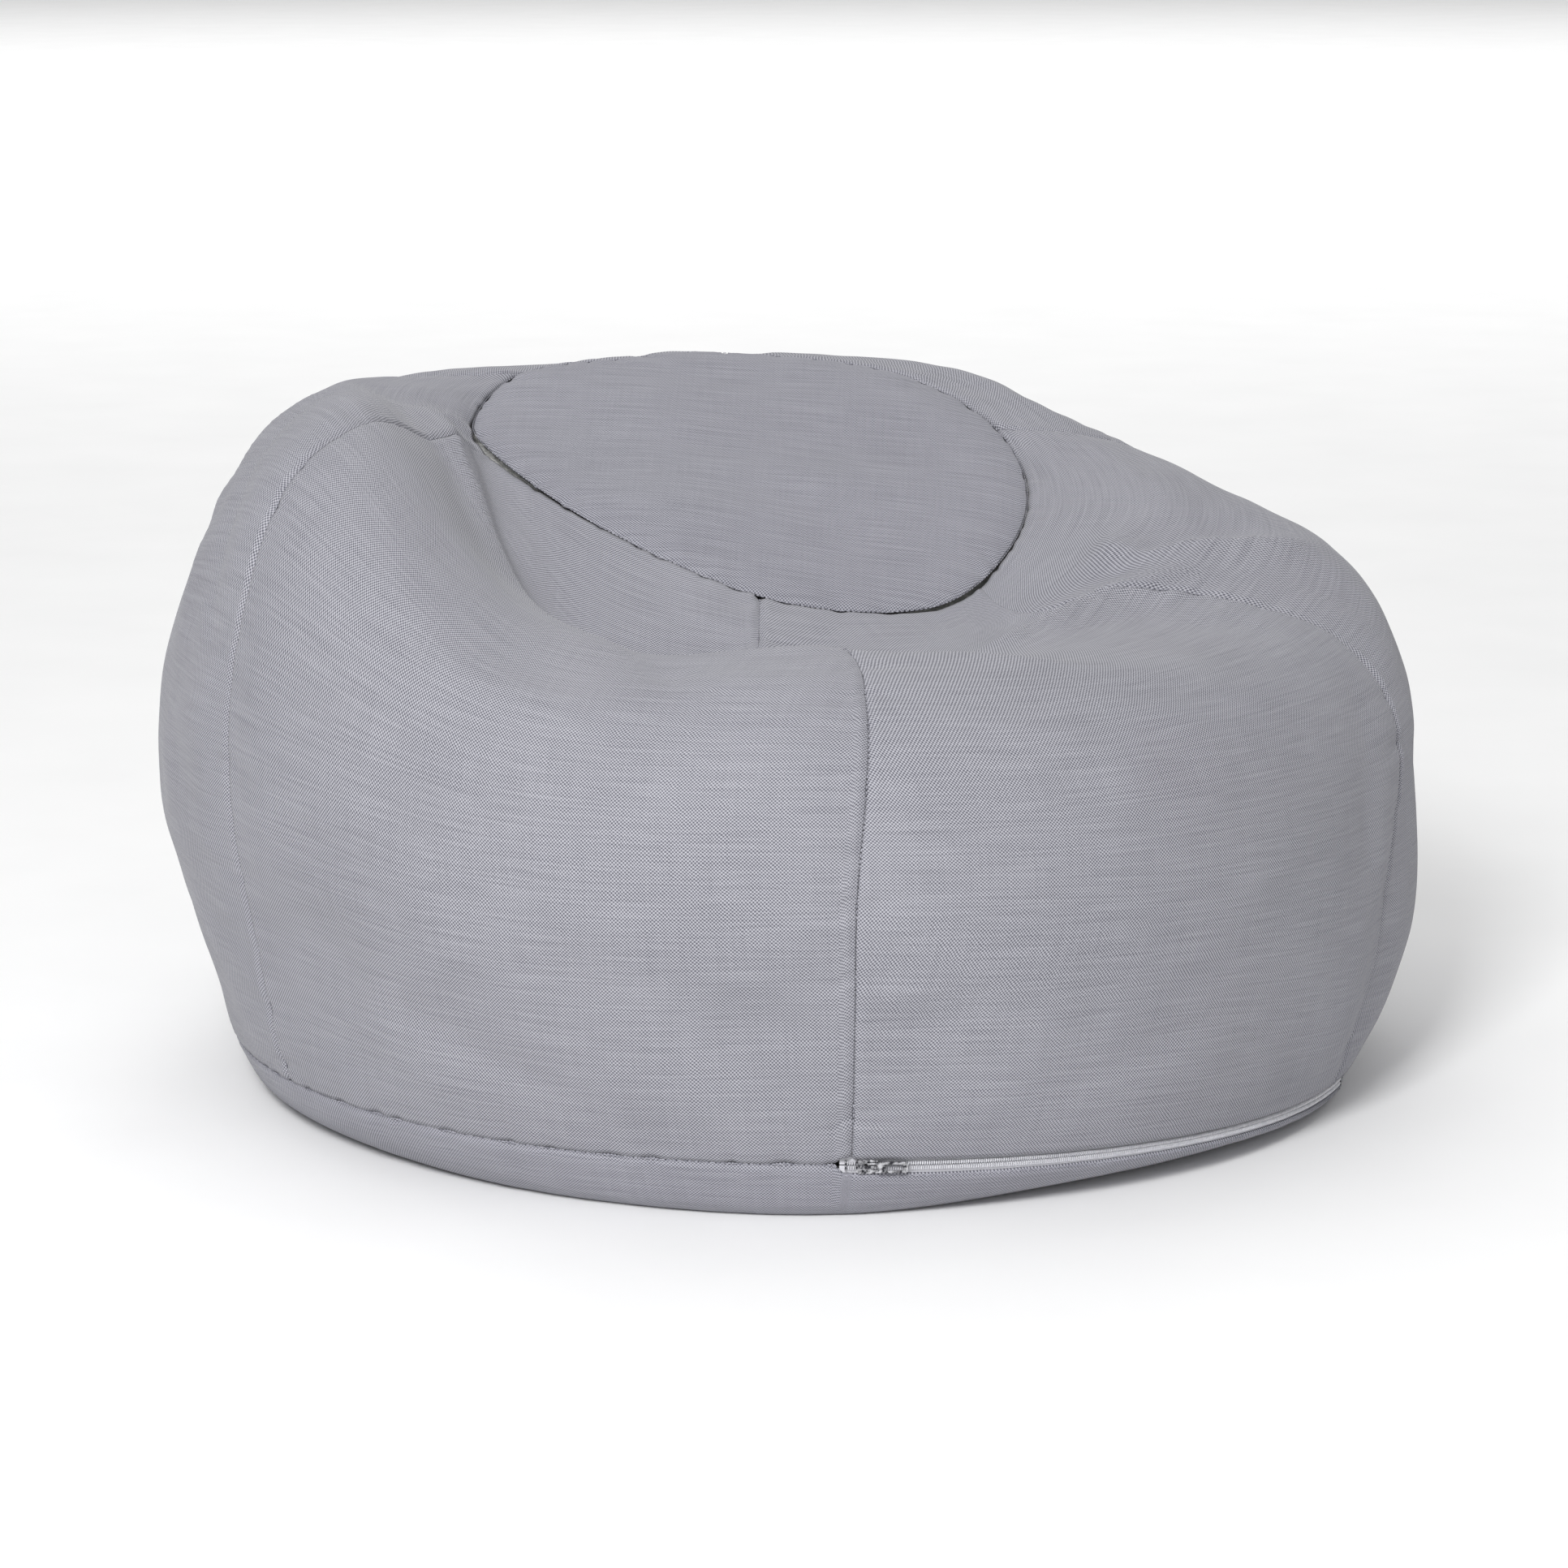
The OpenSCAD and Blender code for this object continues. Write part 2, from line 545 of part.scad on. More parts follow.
FILL_ROWS = 20;
FILL_RINGS = 2;
module bead_fill() {
  cols = [0:RING_COLS - 1];
  function u(i) = ring_u(i, RING_COLS);
  function side(k) = [for (i = cols) within(u(i), 1 + k * (SEAT_ROW - 1) / FILL_ROWS, fill_in, fill_low)];
  function seat(k) = [for (i = cols) seat_point(u(i), k / (FILL_RINGS + 1)) - fill_in * SEAT_N];
  color(BEADS) loft(
    [0, 0, fill_low],
    concat([for (k = [0:FILL_ROWS]) side(k)], [for (k = [FILL_RINGS:-1:1]) seat(k)]),
    seat_point(0, 0) - fill_in * SEAT_N
  );
}

side_panel(10);  // front_left_panel
side_panel(0);  // front_right_panel
side_panel(2);  // right_panel
side_panel(4);  // back_right_panel
side_panel(6);  // back_left_panel
side_panel(8);  // left_panel
seat_panel();
base_panel();
side_seam_thread();
seat_seam_thread();
base_seam_thread();
zip_upper_tape();
zip_lower_tape();
zip_upper_coil();
zip_lower_coil();
zip_top_stops();
zip_bottom_stop();
zip_slider();
zip_pull_tab();
liner_panel(10);  // liner_front_left
liner_panel(0);  // liner_front_right
liner_panel(2);  // liner_right
liner_panel(4);  // liner_back_right
liner_panel(6);  // liner_back_left
liner_panel(8);  // liner_left
liner_top();
liner_base();
liner_seam_thread();
liner_zip_tape();
liner_zip_coil();
liner_zip_stops();
liner_zip_slider();
bead_fill();
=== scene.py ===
import math

import bpy
import numpy as np
from mathutils import Matrix, Vector


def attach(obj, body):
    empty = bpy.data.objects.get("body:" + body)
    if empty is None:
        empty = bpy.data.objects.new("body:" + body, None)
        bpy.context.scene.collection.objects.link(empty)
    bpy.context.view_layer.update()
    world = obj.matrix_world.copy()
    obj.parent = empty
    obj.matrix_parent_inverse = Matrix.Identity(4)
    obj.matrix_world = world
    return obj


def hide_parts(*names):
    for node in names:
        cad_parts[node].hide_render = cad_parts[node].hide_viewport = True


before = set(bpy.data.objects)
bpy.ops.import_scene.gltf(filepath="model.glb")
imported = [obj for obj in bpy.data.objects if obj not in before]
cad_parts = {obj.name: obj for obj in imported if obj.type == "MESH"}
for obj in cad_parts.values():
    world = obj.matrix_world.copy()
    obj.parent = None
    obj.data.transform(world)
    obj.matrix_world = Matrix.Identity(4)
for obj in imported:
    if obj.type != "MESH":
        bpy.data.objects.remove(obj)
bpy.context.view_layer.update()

# ---------------------------------------------------------------- small helpers

MM = 0.001
RAD = math.pi / 180
chance = np.random.default_rng(7)


def deselect_all():
    """Leaves nothing selected."""
    bpy.ops.object.select_all(action="DESELECT")


def new_mesh_object(name, points, faces, smooth=True):
    """A mesh object from points and faces, standing at the origin."""
    mesh = bpy.data.meshes.new(name)
    mesh.from_pydata(np.asarray(points, float).tolist(), [], [list(map(int, f)) for f in faces])
    mesh.validate()
    mesh.update()
    thing = bpy.data.objects.new(name, mesh)
    bpy.context.scene.collection.objects.link(thing)
    if smooth:
        mesh.polygons.foreach_set("use_smooth", [True] * len(mesh.polygons))
    return thing


def finish_piece(thing, body, material, replaced):
    """Says which body the piece rides on, which finish it takes and which CAD node it stands for."""
    thing.data.materials.clear()
    thing.data.materials.append(material)
    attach(thing, body)
    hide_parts(replaced)
    return thing


# ---------------------------------------------------------------- the bag's form, as in part.scad

STATIONS = 12
ROWS = 10
BASE_SEAM, SEAT_SEAM = 2, 9
SEAM_AZ = [6, 37, 67, 97, 127, 157, 187, 217, 247, 275, 303, 335]
SEAM_R = [400, 400, 400, 400, 400, 400, 398, 396, 393, 388, 391, 398]
SEAM_HIGH = [40, 30, 17, 11, 11, 13, 16, 20, 26, 34, 41, 43]
FLOOR_R = [372, 350, 375, 382, 375, 372, 370, 368, 364, 362, 354, 360]
FLOOR_INSET = 60
SIDE = [
    [[6, 420, 130], [6, 430, 215], [7, 414, 280], [8, 374, 328], [8, 300, 350], [357, 205, 312]],
    [[37, 422, 125], [38, 432, 205], [38, 415, 275], [38, 376, 320], [37, 305, 343], [33, 220, 330]],
    [[69, 431, 98], [73, 431, 190], [77, 420, 265], [77, 382, 325], [73, 292, 347], [62, 190, 340]],
    [[97, 434, 98], [97, 434, 205], [97, 420, 297], [96, 388, 355], [95, 322, 383], [92, 245, 395]],
    [[127, 427, 112], [127, 436, 215], [127, 420, 305], [126, 385, 360], [126, 330, 396], [127, 266, 428]],
    [[157, 422, 125], [157, 432, 225], [157, 420, 315], [157, 390, 380], [156, 345, 432], [155, 285, 459]],
    [[187, 418, 130], [187, 430, 230], [187, 420, 322], [187, 390, 390], [187, 345, 437], [187, 285, 467]],
    [[217, 416, 130], [217, 430, 235], [217, 418, 327], [217, 388, 400], [216, 340, 442], [213, 290, 464]],
    [[247, 415, 140], [247, 432, 240], [247, 413, 335], [247, 384, 408], [243, 336, 457], [235, 296, 468]],
    [[275, 415, 150], [275, 433, 238], [275, 412, 328], [273, 382, 406], [267, 322, 469], [254, 275, 458]],
    [[303, 418, 145], [303, 433, 235], [301, 421, 330], [297, 369, 430], [288, 292, 470], [267, 240, 434]],
    [[335, 418, 130], [335, 432, 215], [334, 415, 285], [333, 372, 338], [330, 293, 358], [322, 215, 322]]]
SEAT_EDGE = [[1, .93, 8], [30, 1.02, 0], [51, 1.02, 0], [86, .99, 0], [119, 1.02, 0], [150, 1, 0],
             [190, .95, -4], [213, .97, -4], [234, 1.08, -3], [256, 1.06, 0], [273, .97, 6], [318, .83, 16]]
SEAT_MID = np.array([-20, 75, 407]) * MM
SEAT_R = 195
SEAT_TILT, SEAT_ROLL = 21 * RAD, 5 * RAD
SEAT_CROWN = 6 * MM
ZIP_R, ZIP_Z = 400, 21.5          # the circle that the zip lies on
ZIP_TILT = (-2.9 * RAD, 1.9 * RAD)
ZIP_FROM, ZIP_TO = 4, 74          # azimuths of the zip's two ends
ZIP_JOINS, ZIP_LEAVES = (11.7, 11.85), (2.25, 2.4)    # stations where the seam comes to its circle and goes

seat_x = np.array([math.cos(SEAT_ROLL), 0, -math.sin(SEAT_ROLL)])
seat_y = np.array([0, math.cos(SEAT_TILT), math.sin(SEAT_TILT)])
seat_n = np.cross(seat_x, seat_y)
seat_n /= np.linalg.norm(seat_n)
zip_turn = np.array((Matrix.Rotation(ZIP_TILT[1], 3, "Y") @ Matrix.Rotation(ZIP_TILT[0], 3, "X")))


def polar(azimuth, radius, height):
    """Points in metres from degrees right of the front and millimetres."""
    a = np.asarray(azimuth, float) * RAD
    r = np.asarray(radius, float) * MM
    z = np.broadcast_to(np.asarray(height, float) * MM, a.shape)
    return np.stack([r * np.sin(a), -r * np.cos(a), z], -1)


def spline(p0, p1, p2, p3, t):
    """The smooth curve through four neighbours, t of the way from the second to the third."""
    return .5 * (2 * p1 + (p2 - p0) * t + (2 * p0 - 5 * p1 + 4 * p2 - p3) * t ** 2
                 + (3 * p1 - p0 - 3 * p2 + p3) * t ** 3)


def around(values, u, turn=0.0):
    """A closed smooth curve through one value per station; turn is what a full round adds."""
    values = np.asarray(values, float)
    u = np.asarray(u, float)
    i = np.floor(u).astype(int)
    t = u - i
    if values.ndim > 1:
        t = t[..., None]
    at = [values[(i + k) % STATIONS] + (turn * ((i + k) // STATIONS) if turn else 0) for k in (-1, 0, 1, 2)]
    return spline(*at, t)


def ramp(a, b, x):
    """A smooth step from 0 at a to 1 at b."""
    t = np.clip((x - a) / (b - a), 0, 1)
    return t * t * (3 - 2 * t)


def seam_azimuth(u):
    """Degrees right of the front at which the base seam passes station u."""
    return around(SEAM_AZ, u, 360.0)


def on_zip(azimuth, outward, across):
    """A point beside the zip: millimetres outward from its circle and up across it."""
    a = np.asarray(azimuth, float) * RAD
    r = ZIP_R + np.asarray(outward, float) + 0 * a
    flat = np.stack([r * np.sin(a), -r * np.cos(a), np.asarray(across, float) + 0 * a], -1) * MM
    return flat @ zip_turn.T + np.array([0, 0, ZIP_Z * MM])


def zipped(u):
    """1 where the base seam follows the zip's circle, 0 where it goes its own way."""
    w = np.mod(u, STATIONS)
    return np.maximum(1 - ramp(*ZIP_LEAVES, w), ramp(*ZIP_JOINS, w))


def base_seam(u):
    """The seam between the side panels and the base panel."""
    a = seam_azimuth(u)
    s = zipped(u)[..., None]
    return polar(a, around(SEAM_R, u), around(SEAM_HIGH, u)) * (1 - s) + on_zip(a, 0, 0) * s


def seat_edge():
    """The seat panel's seam at each station, in its own tilted plane."""
    e = np.array(SEAT_EDGE, float)
    a = e[:, 0] * RAD
    return (SEAT_MID + SEAT_R * MM * e[:, 1:2] * (np.sin(a)[:, None] * seat_x - np.cos(a)[:, None] * seat_y)
            + e[:, 2:3] * MM * seat_n)


row_stations = [polar(SEAM_AZ, np.array(FLOOR_R) - FLOOR_INSET, 0), polar(SEAM_AZ, FLOOR_R, 0), None]
row_stations += [np.array([polar(*SIDE[k][j]) for k in range(STATIONS)]) for j in range(6)]
row_stations += [seat_edge()]


def row_curve(j, u):
    """The level curve round the bag at row j."""
    return base_seam(u) if j == BASE_SEAM else around(row_stations[j], u)


def skin(u, v):
    """The cover's outer face: u runs round the bag, v up from floor to seat. u is (n,), v is (n, m)."""
    rows = np.stack([row_curve(j, u) for j in range(ROWS)], 1)
    j = np.clip(np.floor(v).astype(int), 0, ROWS - 2)
    t = (v - j)[..., None]
    n = np.arange(len(u))[:, None]
    at = [rows[n, np.clip(j + k, 0, ROWS - 1)] for k in (-1, 0, 1, 2)]
    return spline(*at, t)


def seat_face(u, s):
    """The seat panel's outer face: s runs from 0 in the middle to 1 at its seam. u is (n,), s is (m,)."""
    edge = row_curve(SEAT_SEAM, u)[:, None, :]
    s = np.asarray(s, float)[None, :, None]
    return SEAT_MID + s * (edge - SEAT_MID) + seat_n * SEAT_CROWN * (1 - s ** 2)


def grid_normals(grid, closed=False):
    """Outward normals of a grid of points (round, up, 3)."""
    if closed:
        du = np.roll(grid, -1, 0) - np.roll(grid, 1, 0)
    else:
        du = np.gradient(grid, axis=0)
    dv = np.gradient(grid, axis=1)
    n = np.cross(du, dv)
    return n / (np.linalg.norm(n, axis=2, keepdims=True) + 1e-12)


def run_length(grid, axis):
    """Distance in metres along the grid from its first row or column."""
    step = np.linalg.norm(np.diff(grid, axis=axis), axis=2)
    pad = np.zeros([1 if a == axis else n for a, n in enumerate(step.shape)])
    return np.concatenate([pad, np.cumsum(step, axis=axis)], axis)


def grid_faces(nu, nv, closed=False):
    """Four-cornered faces of a grid of nu by nv points, facing outward."""
    i = np.arange(nu if closed else nu - 1)[:, None]
    j = np.arange(nv - 1)[None, :]
    k = (i + 1) % nu
    return np.stack([i * nv + j, k * nv + j, k * nv + j + 1, i * nv + j + 1], -1).reshape(-1, 4)


# ---------------------------------------------------------------- how the cover puckers and folds

# Ridges (+) and creases (-) pressed into the cover. Each runs through points (u, v) on the form,
# lifts by so many millimetres and fades over so many millimetres to each side.
# Stations past 12 are the next turn.
FOLDS = [
    # the left roll's crest, and the valley between it and the seat
    ([(8.9, 8.2), (9.3, 8.3), (9.8, 8.2), (10.3, 8.0), (10.7, 7.7), (11.05, 7.2), (11.3, 6.8)], 15, 24),
    ([(9.5, 8.8), (10.1, 8.75), (10.7, 8.5), (11.15, 7.9)], -9, 24),
    # the dent where the rolls meet, and the front crest
    ([(11.3, 6.95), (11.4, 6.6), (11.45, 6.3)], -10, 15),
    ([(11.45, 7.1), (11.75, 7.1), (12.0, 7.05), (12.4, 6.9), (12.8, 6.6)], 11, 17),
    # the valley to the right of the seat, and the ridges above and into the right seam
    ([(12.15, 7.5), (12.8, 8.2), (13.4, 8.5), (14.1, 8.45), (14.7, 8.4)], -12, 26),
    ([(14.9, 8.3), (14.55, 7.9), (14.42, 7.5), (14.5, 7.0), (14.7, 6.5)], 15, 17),
    ([(12.9, 7.9), (13.4, 7.8), (14.0, 7.5), (14.2, 7.1)], 14, 17),
    # the right seam standing up, and the hollow below it
    ([(14.0, 7.9), (14.0, 7.2), (14.05, 6.6)], 4, 16),
    ([(12.6, 6.9), (13.1, 7.15), (13.6, 6.9), (13.8, 6.4)], -10, 36),
    # gathers at the back right, back left and left seams, beside the seat
    ([(15.35, 8.75), (15.6, 8.85), (15.8, 8.9)], -12, 11),
    ([(19.4, 8.4), (19.7, 8.6), (19.9, 8.8)], -9, 13),
    ([(17.9, 8.0), (18.0, 8.5), (18.05, 8.9)], -6, 12),
    # slack beside the left seam, before the right seam and over the floor
    ([(21.8, 5.0), (21.65, 5.9), (21.3, 6.8)], -7, 18),
    ([(21.4, 5.2), (21.2, 6.2), (20.9, 7.0)], 6, 22),
    ([(13.9, 3.2), (13.7, 4.4), (13.8, 5.4)], -4, 24),
    ([(11.2, 2.5), (10.7, 2.9), (10.3, 2.7)], -5, 16),
    ([(12.5, 2.5), (13.1, 2.9), (13.6, 2.6)], -5, 16),
]


def fold_lift(grid, u, v):
    """Metres that the folds raise each point of the grid, whose rows and columns stand at u and v."""
    lift = np.zeros(grid.shape[:2])
    for line, height, width in FOLDS:
        line = np.array(line, float)
        t = np.linspace(0, len(line) - 1, 8 * len(line))
        lu = np.interp(t, range(len(line)), line[:, 0])
        lv = np.interp(t, range(len(line)), line[:, 1])
        path = skin(lu, lv[:, None])[:, 0]
        near = np.full(lift.shape, 9.0)
        along = np.zeros(lift.shape)
        for k, p in enumerate(path):
            d = np.linalg.norm(grid - p, axis=2)
            closer = d < near
            near = np.where(closer, d, near)
            along = np.where(closer, k / (len(path) - 1), along)
        ends = np.sin(np.pi * np.clip(along * .86 + .07, 0, 1)) ** .7
        lift += height * MM * ends * np.exp(-(near / (width * MM)) ** 1.25)
    return lift


# ---------------------------------------------------------------- the cover, filled and gathered

SIM_ROUND, SIM_UP = 288, 84                  # points round the bag and up its side
SIM_SEAT = [.94, .86, .76, .62, .46]         # rings of the seat, as shares of its radius
SIM_FRAMES = 20
SIM_CAP = 8 * MM                             # the furthest a point may go
SIM_STILL = 7                                # rows that stay at each edge
SIM_PRESSURE = 20.0
GATHER_WIDE = .05                            # half-width of the gathering at a seam, in panels


def simulate_cover():
    """Blows the whole cover up as one closed cloth bag. Returns how far each point of its side moved."""
    u = np.arange(SIM_ROUND) * STATIONS / SIM_ROUND
    v = np.linspace(BASE_SEAM, SEAT_SEAM, SIM_UP)
    side = skin(u, np.tile(v, (SIM_ROUND, 1)))
    seat = seat_face(u, SIM_SEAT)
    points = np.concatenate([side, seat], 1)
    rows = points.shape[1]
    faces = grid_faces(SIM_ROUND, rows, closed=True).tolist()
    faces.append([i * rows for i in range(SIM_ROUND)][::-1])
    faces.append([i * rows + rows - 1 for i in range(SIM_ROUND)])
    bag = new_mesh_object("cover_cloth", points.reshape(-1, 3), faces)
    seam_near = np.abs((u / 2) - np.round(u / 2)) * 2
    seam_pull = np.exp(-(seam_near / GATHER_WIDE) ** 2)[:, None] * np.ones(rows)
    seam_pull[:, :2] = 0
    hold = np.full((SIM_ROUND, rows), .2)
    hold[:, 0] = hold[:, -1] = hold[:, SIM_UP - 1] = 1
    hold[:, 1:3] = .7
    hold[:, SIM_UP:] = .6
    held = bag.vertex_groups.new(name="held")
    gathered = bag.vertex_groups.new(name="gathered")
    for index, (h, g) in enumerate(zip(hold.ravel(), seam_pull.ravel())):
        held.add([index], float(h), "REPLACE")
        gathered.add([index], float(g), "REPLACE")
    cloth = bag.modifiers.new("cloth", "CLOTH")
    how = cloth.settings
    how.quality = 5
    how.mass = .02
    how.air_damping = 1.0
    how.tension_stiffness = how.compression_stiffness = 18
    how.shear_stiffness = 6
    how.bending_stiffness = 6
    how.use_pressure = True
    how.uniform_pressure_force = SIM_PRESSURE
    how.vertex_group_mass = "held"
    how.pin_stiffness = 1.0
    how.vertex_group_shrink = "gathered"
    how.shrink_min = -.01
    how.shrink_max = .02
    how.effector_weights.gravity = 0
    cloth.collision_settings.use_collision = False
    cloth.point_cache.frame_start = 1
    cloth.point_cache.frame_end = SIM_FRAMES
    scene = bpy.context.scene
    for step in range(1, SIM_FRAMES + 1):
        scene.frame_set(step)
    deselect_all()
    bag.select_set(True)
    bpy.context.view_layer.objects.active = bag
    bpy.ops.object.modifier_apply(modifier="cloth")
    moved = np.zeros(len(bag.data.vertices) * 3)
    bag.data.vertices.foreach_get("co", moved)
    scene.frame_set(1)
    bpy.data.objects.remove(bag)
    shift = (moved.reshape(points.shape) - points)[:, :SIM_UP]
    size = np.linalg.norm(shift, axis=2, keepdims=True)
    shift = shift * np.minimum(1, SIM_CAP / (size + 1e-9))
    still = ramp(0, SIM_STILL, np.arange(SIM_UP)) * ramp(0, SIM_STILL, np.arange(SIM_UP)[::-1])
    return soften(shift * still[None, :, None])


def soften(field):
    """Takes the ripple of single cells out of a field on the cloth's grid."""
    for _ in range(2):
        field = (np.roll(field, 1, 0) + 2 * field + np.roll(field, -1, 0)) / 4
        field[:, 1:-1] = (field[:, :-2] + 2 * field[:, 1:-1] + field[:, 2:]) / 4
    return field


def resample(field, u, v):
    """Smooth values of a field on the cloth's own grid, at u (n,) and v (n, m)."""
    iu = np.asarray(u) * SIM_ROUND / STATIONS
    jv = np.clip((v - BASE_SEAM) / (SEAT_SEAM - BASE_SEAM), 0, 1) * (SIM_UP - 1)
    i = np.floor(iu).astype(int)
    tu = (iu - i)[:, None, None]
    j = np.clip(np.floor(jv).astype(int), 0, SIM_UP - 2)
    tv = (jv - j)[..., None]
    columns = []
    for a in (-1, 0, 1, 2):
        at = [field[((i + a) % SIM_ROUND)[:, None], np.clip(j + b, 0, SIM_UP - 1)] for b in (-1, 0, 1, 2)]
        columns.append(spline(*at, tv))
    return spline(*columns, tu)


# ---------------------------------------------------------------- the sewn panels

PANELS = [("front_right_panel", 0), ("right_panel", 2), ("back_right_panel", 4),
          ("back_left_panel", 6), ("left_panel", 8), ("front_left_panel", 10)]
CLOTH_THICK = 1.6 * MM
PANEL_COLUMNS, PANEL_ROWS = 104, 170
SEAM_SHUT = .15 * MM        # half the slit left between two sewn panels
SEAM_DEEP, SEAM_WIDE = 2.0 * MM, 2.6 * MM
ZIP_LIP = 4.6 * MM         # how far the panels' edge stands above the zip's middle
ZIP_END_LIP = 1.1 * MM      # more of it where the slider passes the side seam
ZIP_DROP = 4.8 * MM        # and the base panel's below it
SEAM_LIP = .35 * MM         # half the slit along the base and seat seams
ALLOWANCE_HIGH, ALLOWANCE_OFF, ALLOWANCE_WIDE = .5 * MM, 5.5 * MM, 3 * MM
EDGE_WIDE = 2.6 * MM        # how soon a panel turns in to its base or seat seam
PUCKER_DEPTH = 2.0 * MM
LINER_CLEAR = 7.2 * MM      # the deepest that a crease may go, short of the liner


def puckers(length, spacing, depth, reach):
    """The small gathers that the stitches pull along a seam: (place, depth, width, reach, lean) of each."""
    made, place = [], spacing * chance.uniform(.3, 1)
    while place < length:
        made.append((place, depth * chance.uniform(.35, 1.15), chance.uniform(4.5, 9) * MM,
                     reach * chance.uniform(.5, 1.6), chance.uniform(-.25, .25)))
        place += spacing * chance.uniform(.55, 1.5)
    return made


def pucker_lift(made, along, off):
    """Metres that the gathers raise points so far along their seam and so far off it."""
    lift = np.zeros_like(along)
    for place, depth, width, reach, lean in made:
        across = (along - place - lean * off) / (width * (1 + .8 * off / reach))
        lift -= depth * (1 - 1.1 * across ** 2) * np.exp(-across ** 2) * np.exp(-(off / reach) ** 1.3)
    return lift


side_puckers = {k: puckers(.85, .042, PUCKER_DEPTH, .028) for k in range(0, STATIONS, 2)}
rim_puckers = puckers(2.6, .034, PUCKER_DEPTH * .9, .02)
seat_puckers = puckers(1.3, .026, PUCKER_DEPTH * .8, .016)

seam_u = np.linspace(0, STATIONS, 1441)
seam_path = base_seam(seam_u)
seam_run = np.concatenate([[0], np.cumsum(np.linalg.norm(np.diff(seam_path, axis=0), axis=1))])
seat_path = row_curve(SEAT_SEAM, seam_u)
seat_run = np.concatenate([[0], np.cumsum(np.linalg.norm(np.diff(seat_path, axis=0), axis=1))])


def open_for_zip(u):
    """1 where the zip runs between the panels, 0 where they are sewn edge to edge."""
    a = np.mod(seam_azimuth(u) + 180, 360) - 180
    return ramp(ZIP_FROM + .5, ZIP_FROM + 1.1, a) * (1 - ramp(ZIP_TO - .6, ZIP_TO + .3, a))


def lip(u):
    """How far above the base seam the side panels end, to leave the zip its slit."""
    return SEAM_LIP + (ZIP_LIP - SEAM_LIP + ZIP_END_LIP * ramp(60, 66, seam_azimuth(u))) * open_for_zip(u)


def side_grid(first, shift):
    """Outer face of the side panel that runs from station first to first + 2, with its cloth coordinates."""
    c = np.linspace(-1, 1, PANEL_COLUMNS)
    c = np.sign(c) * (1 - (1 - np.abs(c)) ** 1.35)
    fine_u = np.linspace(first, first + 2, 241)
    belly = skin(fine_u, np.full((241, 1), 4.4))[:, 0]
    belly_run = np.concatenate([[0], np.cumsum(np.linalg.norm(np.diff(belly, axis=0), axis=1))])
    shut = SEAM_SHUT / belly_run[-1]
    u = np.interp((.5 + c * (.5 - shut)) * belly_run[-1], belly_run, fine_u)
    fine_v = np.linspace(BASE_SEAM, SEAT_SEAM, 351)
    column = skin(u, np.tile(fine_v, (len(u), 1)))
    run = run_length(column, 1)
    low, high = lip(u)[:, None], run[:, -1:] - SEAM_LIP
    t = np.linspace(0, 1, PANEL_ROWS)
    t = t + .035 * np.sin(-2 * np.pi * t) / np.pi          # a little closer together at both edges
    mean_run = run.mean(0) / run.mean(0)[-1]
    v0 = np.array([np.interp(a, r, fine_v) for a, r in zip(low[:, 0], run)])[:, None]
    v1 = np.array([np.interp(a, r, fine_v) for a, r in zip(high[:, 0], run)])[:, None]
    v_even = np.interp(t, mean_run, fine_v)[None, :]
    v = v0 + (v1 - v0) * (v_even - BASE_SEAM) / (SEAT_SEAM - BASE_SEAM)
    bulge = resample(shift, u, v)
    grid = skin(u, v) + bulge
    normal = grid_normals(grid)
    across = run_length(grid, 0)
    up = run_length(grid, 1)
    from_left, from_right = across, across[-1:] - across
    lift = fold_lift(grid, u, v)
    for off, station in ((from_left, first % STATIONS), (from_right, (first + 2) % STATIONS)):
        lift = lift + pucker_lift(side_puckers[station], up, off)
        lift = lift - SEAM_DEEP * np.exp(-(off / SEAM_WIDE) ** 1.5)
        lift = lift + ALLOWANCE_HIGH * np.exp(-((off - ALLOWANCE_OFF) / ALLOWANCE_WIDE) ** 2)
    round_base = np.interp(u, seam_u, seam_run)[:, None] + 0 * up
    round_seat = np.interp(u, seam_u, seat_run)[:, None] + 0 * up
    from_top = up[:, -1:] - up
    lift = lift + pucker_lift(rim_puckers, round_base, up) * (1 - .8 * open_for_zip(u)[:, None])
    lift = lift + pucker_lift(seat_puckers, round_seat, from_top)
    lift = lift - (1.0 - .6 * open_for_zip(u)[:, None]) * MM * np.exp(-(up / EDGE_WIDE) ** 1.5)
    lift = lift - 1.5 * MM * np.exp(-(from_top / EDGE_WIDE) ** 1.5)
    moved = np.sum(bulge * normal, 2)
    deep = np.minimum(moved + lift, 0)
    lift = lift + LINER_CLEAR * np.tanh(deep / LINER_CLEAR) - deep      # the liner holds every crease up
    grid = grid + normal * lift[..., None]
    middle = PANEL_COLUMNS // 2
    warp = across - across[middle:middle + 1]
    weft = up[middle:middle + 1] + 0 * up
    return grid, np.stack([warp, weft], -1)


def join_middle(piece):
    """Joins the ring of points left at a panel's middle into one."""
    deselect_all()
    bpy.context.view_layer.objects.active = piece
    piece.select_set(True)
    bpy.ops.object.mode_set(mode="EDIT")
    bpy.ops.mesh.select_all(action="SELECT")
    bpy.ops.mesh.remove_doubles(threshold=2e-6)
    bpy.ops.object.mode_set(mode="OBJECT")


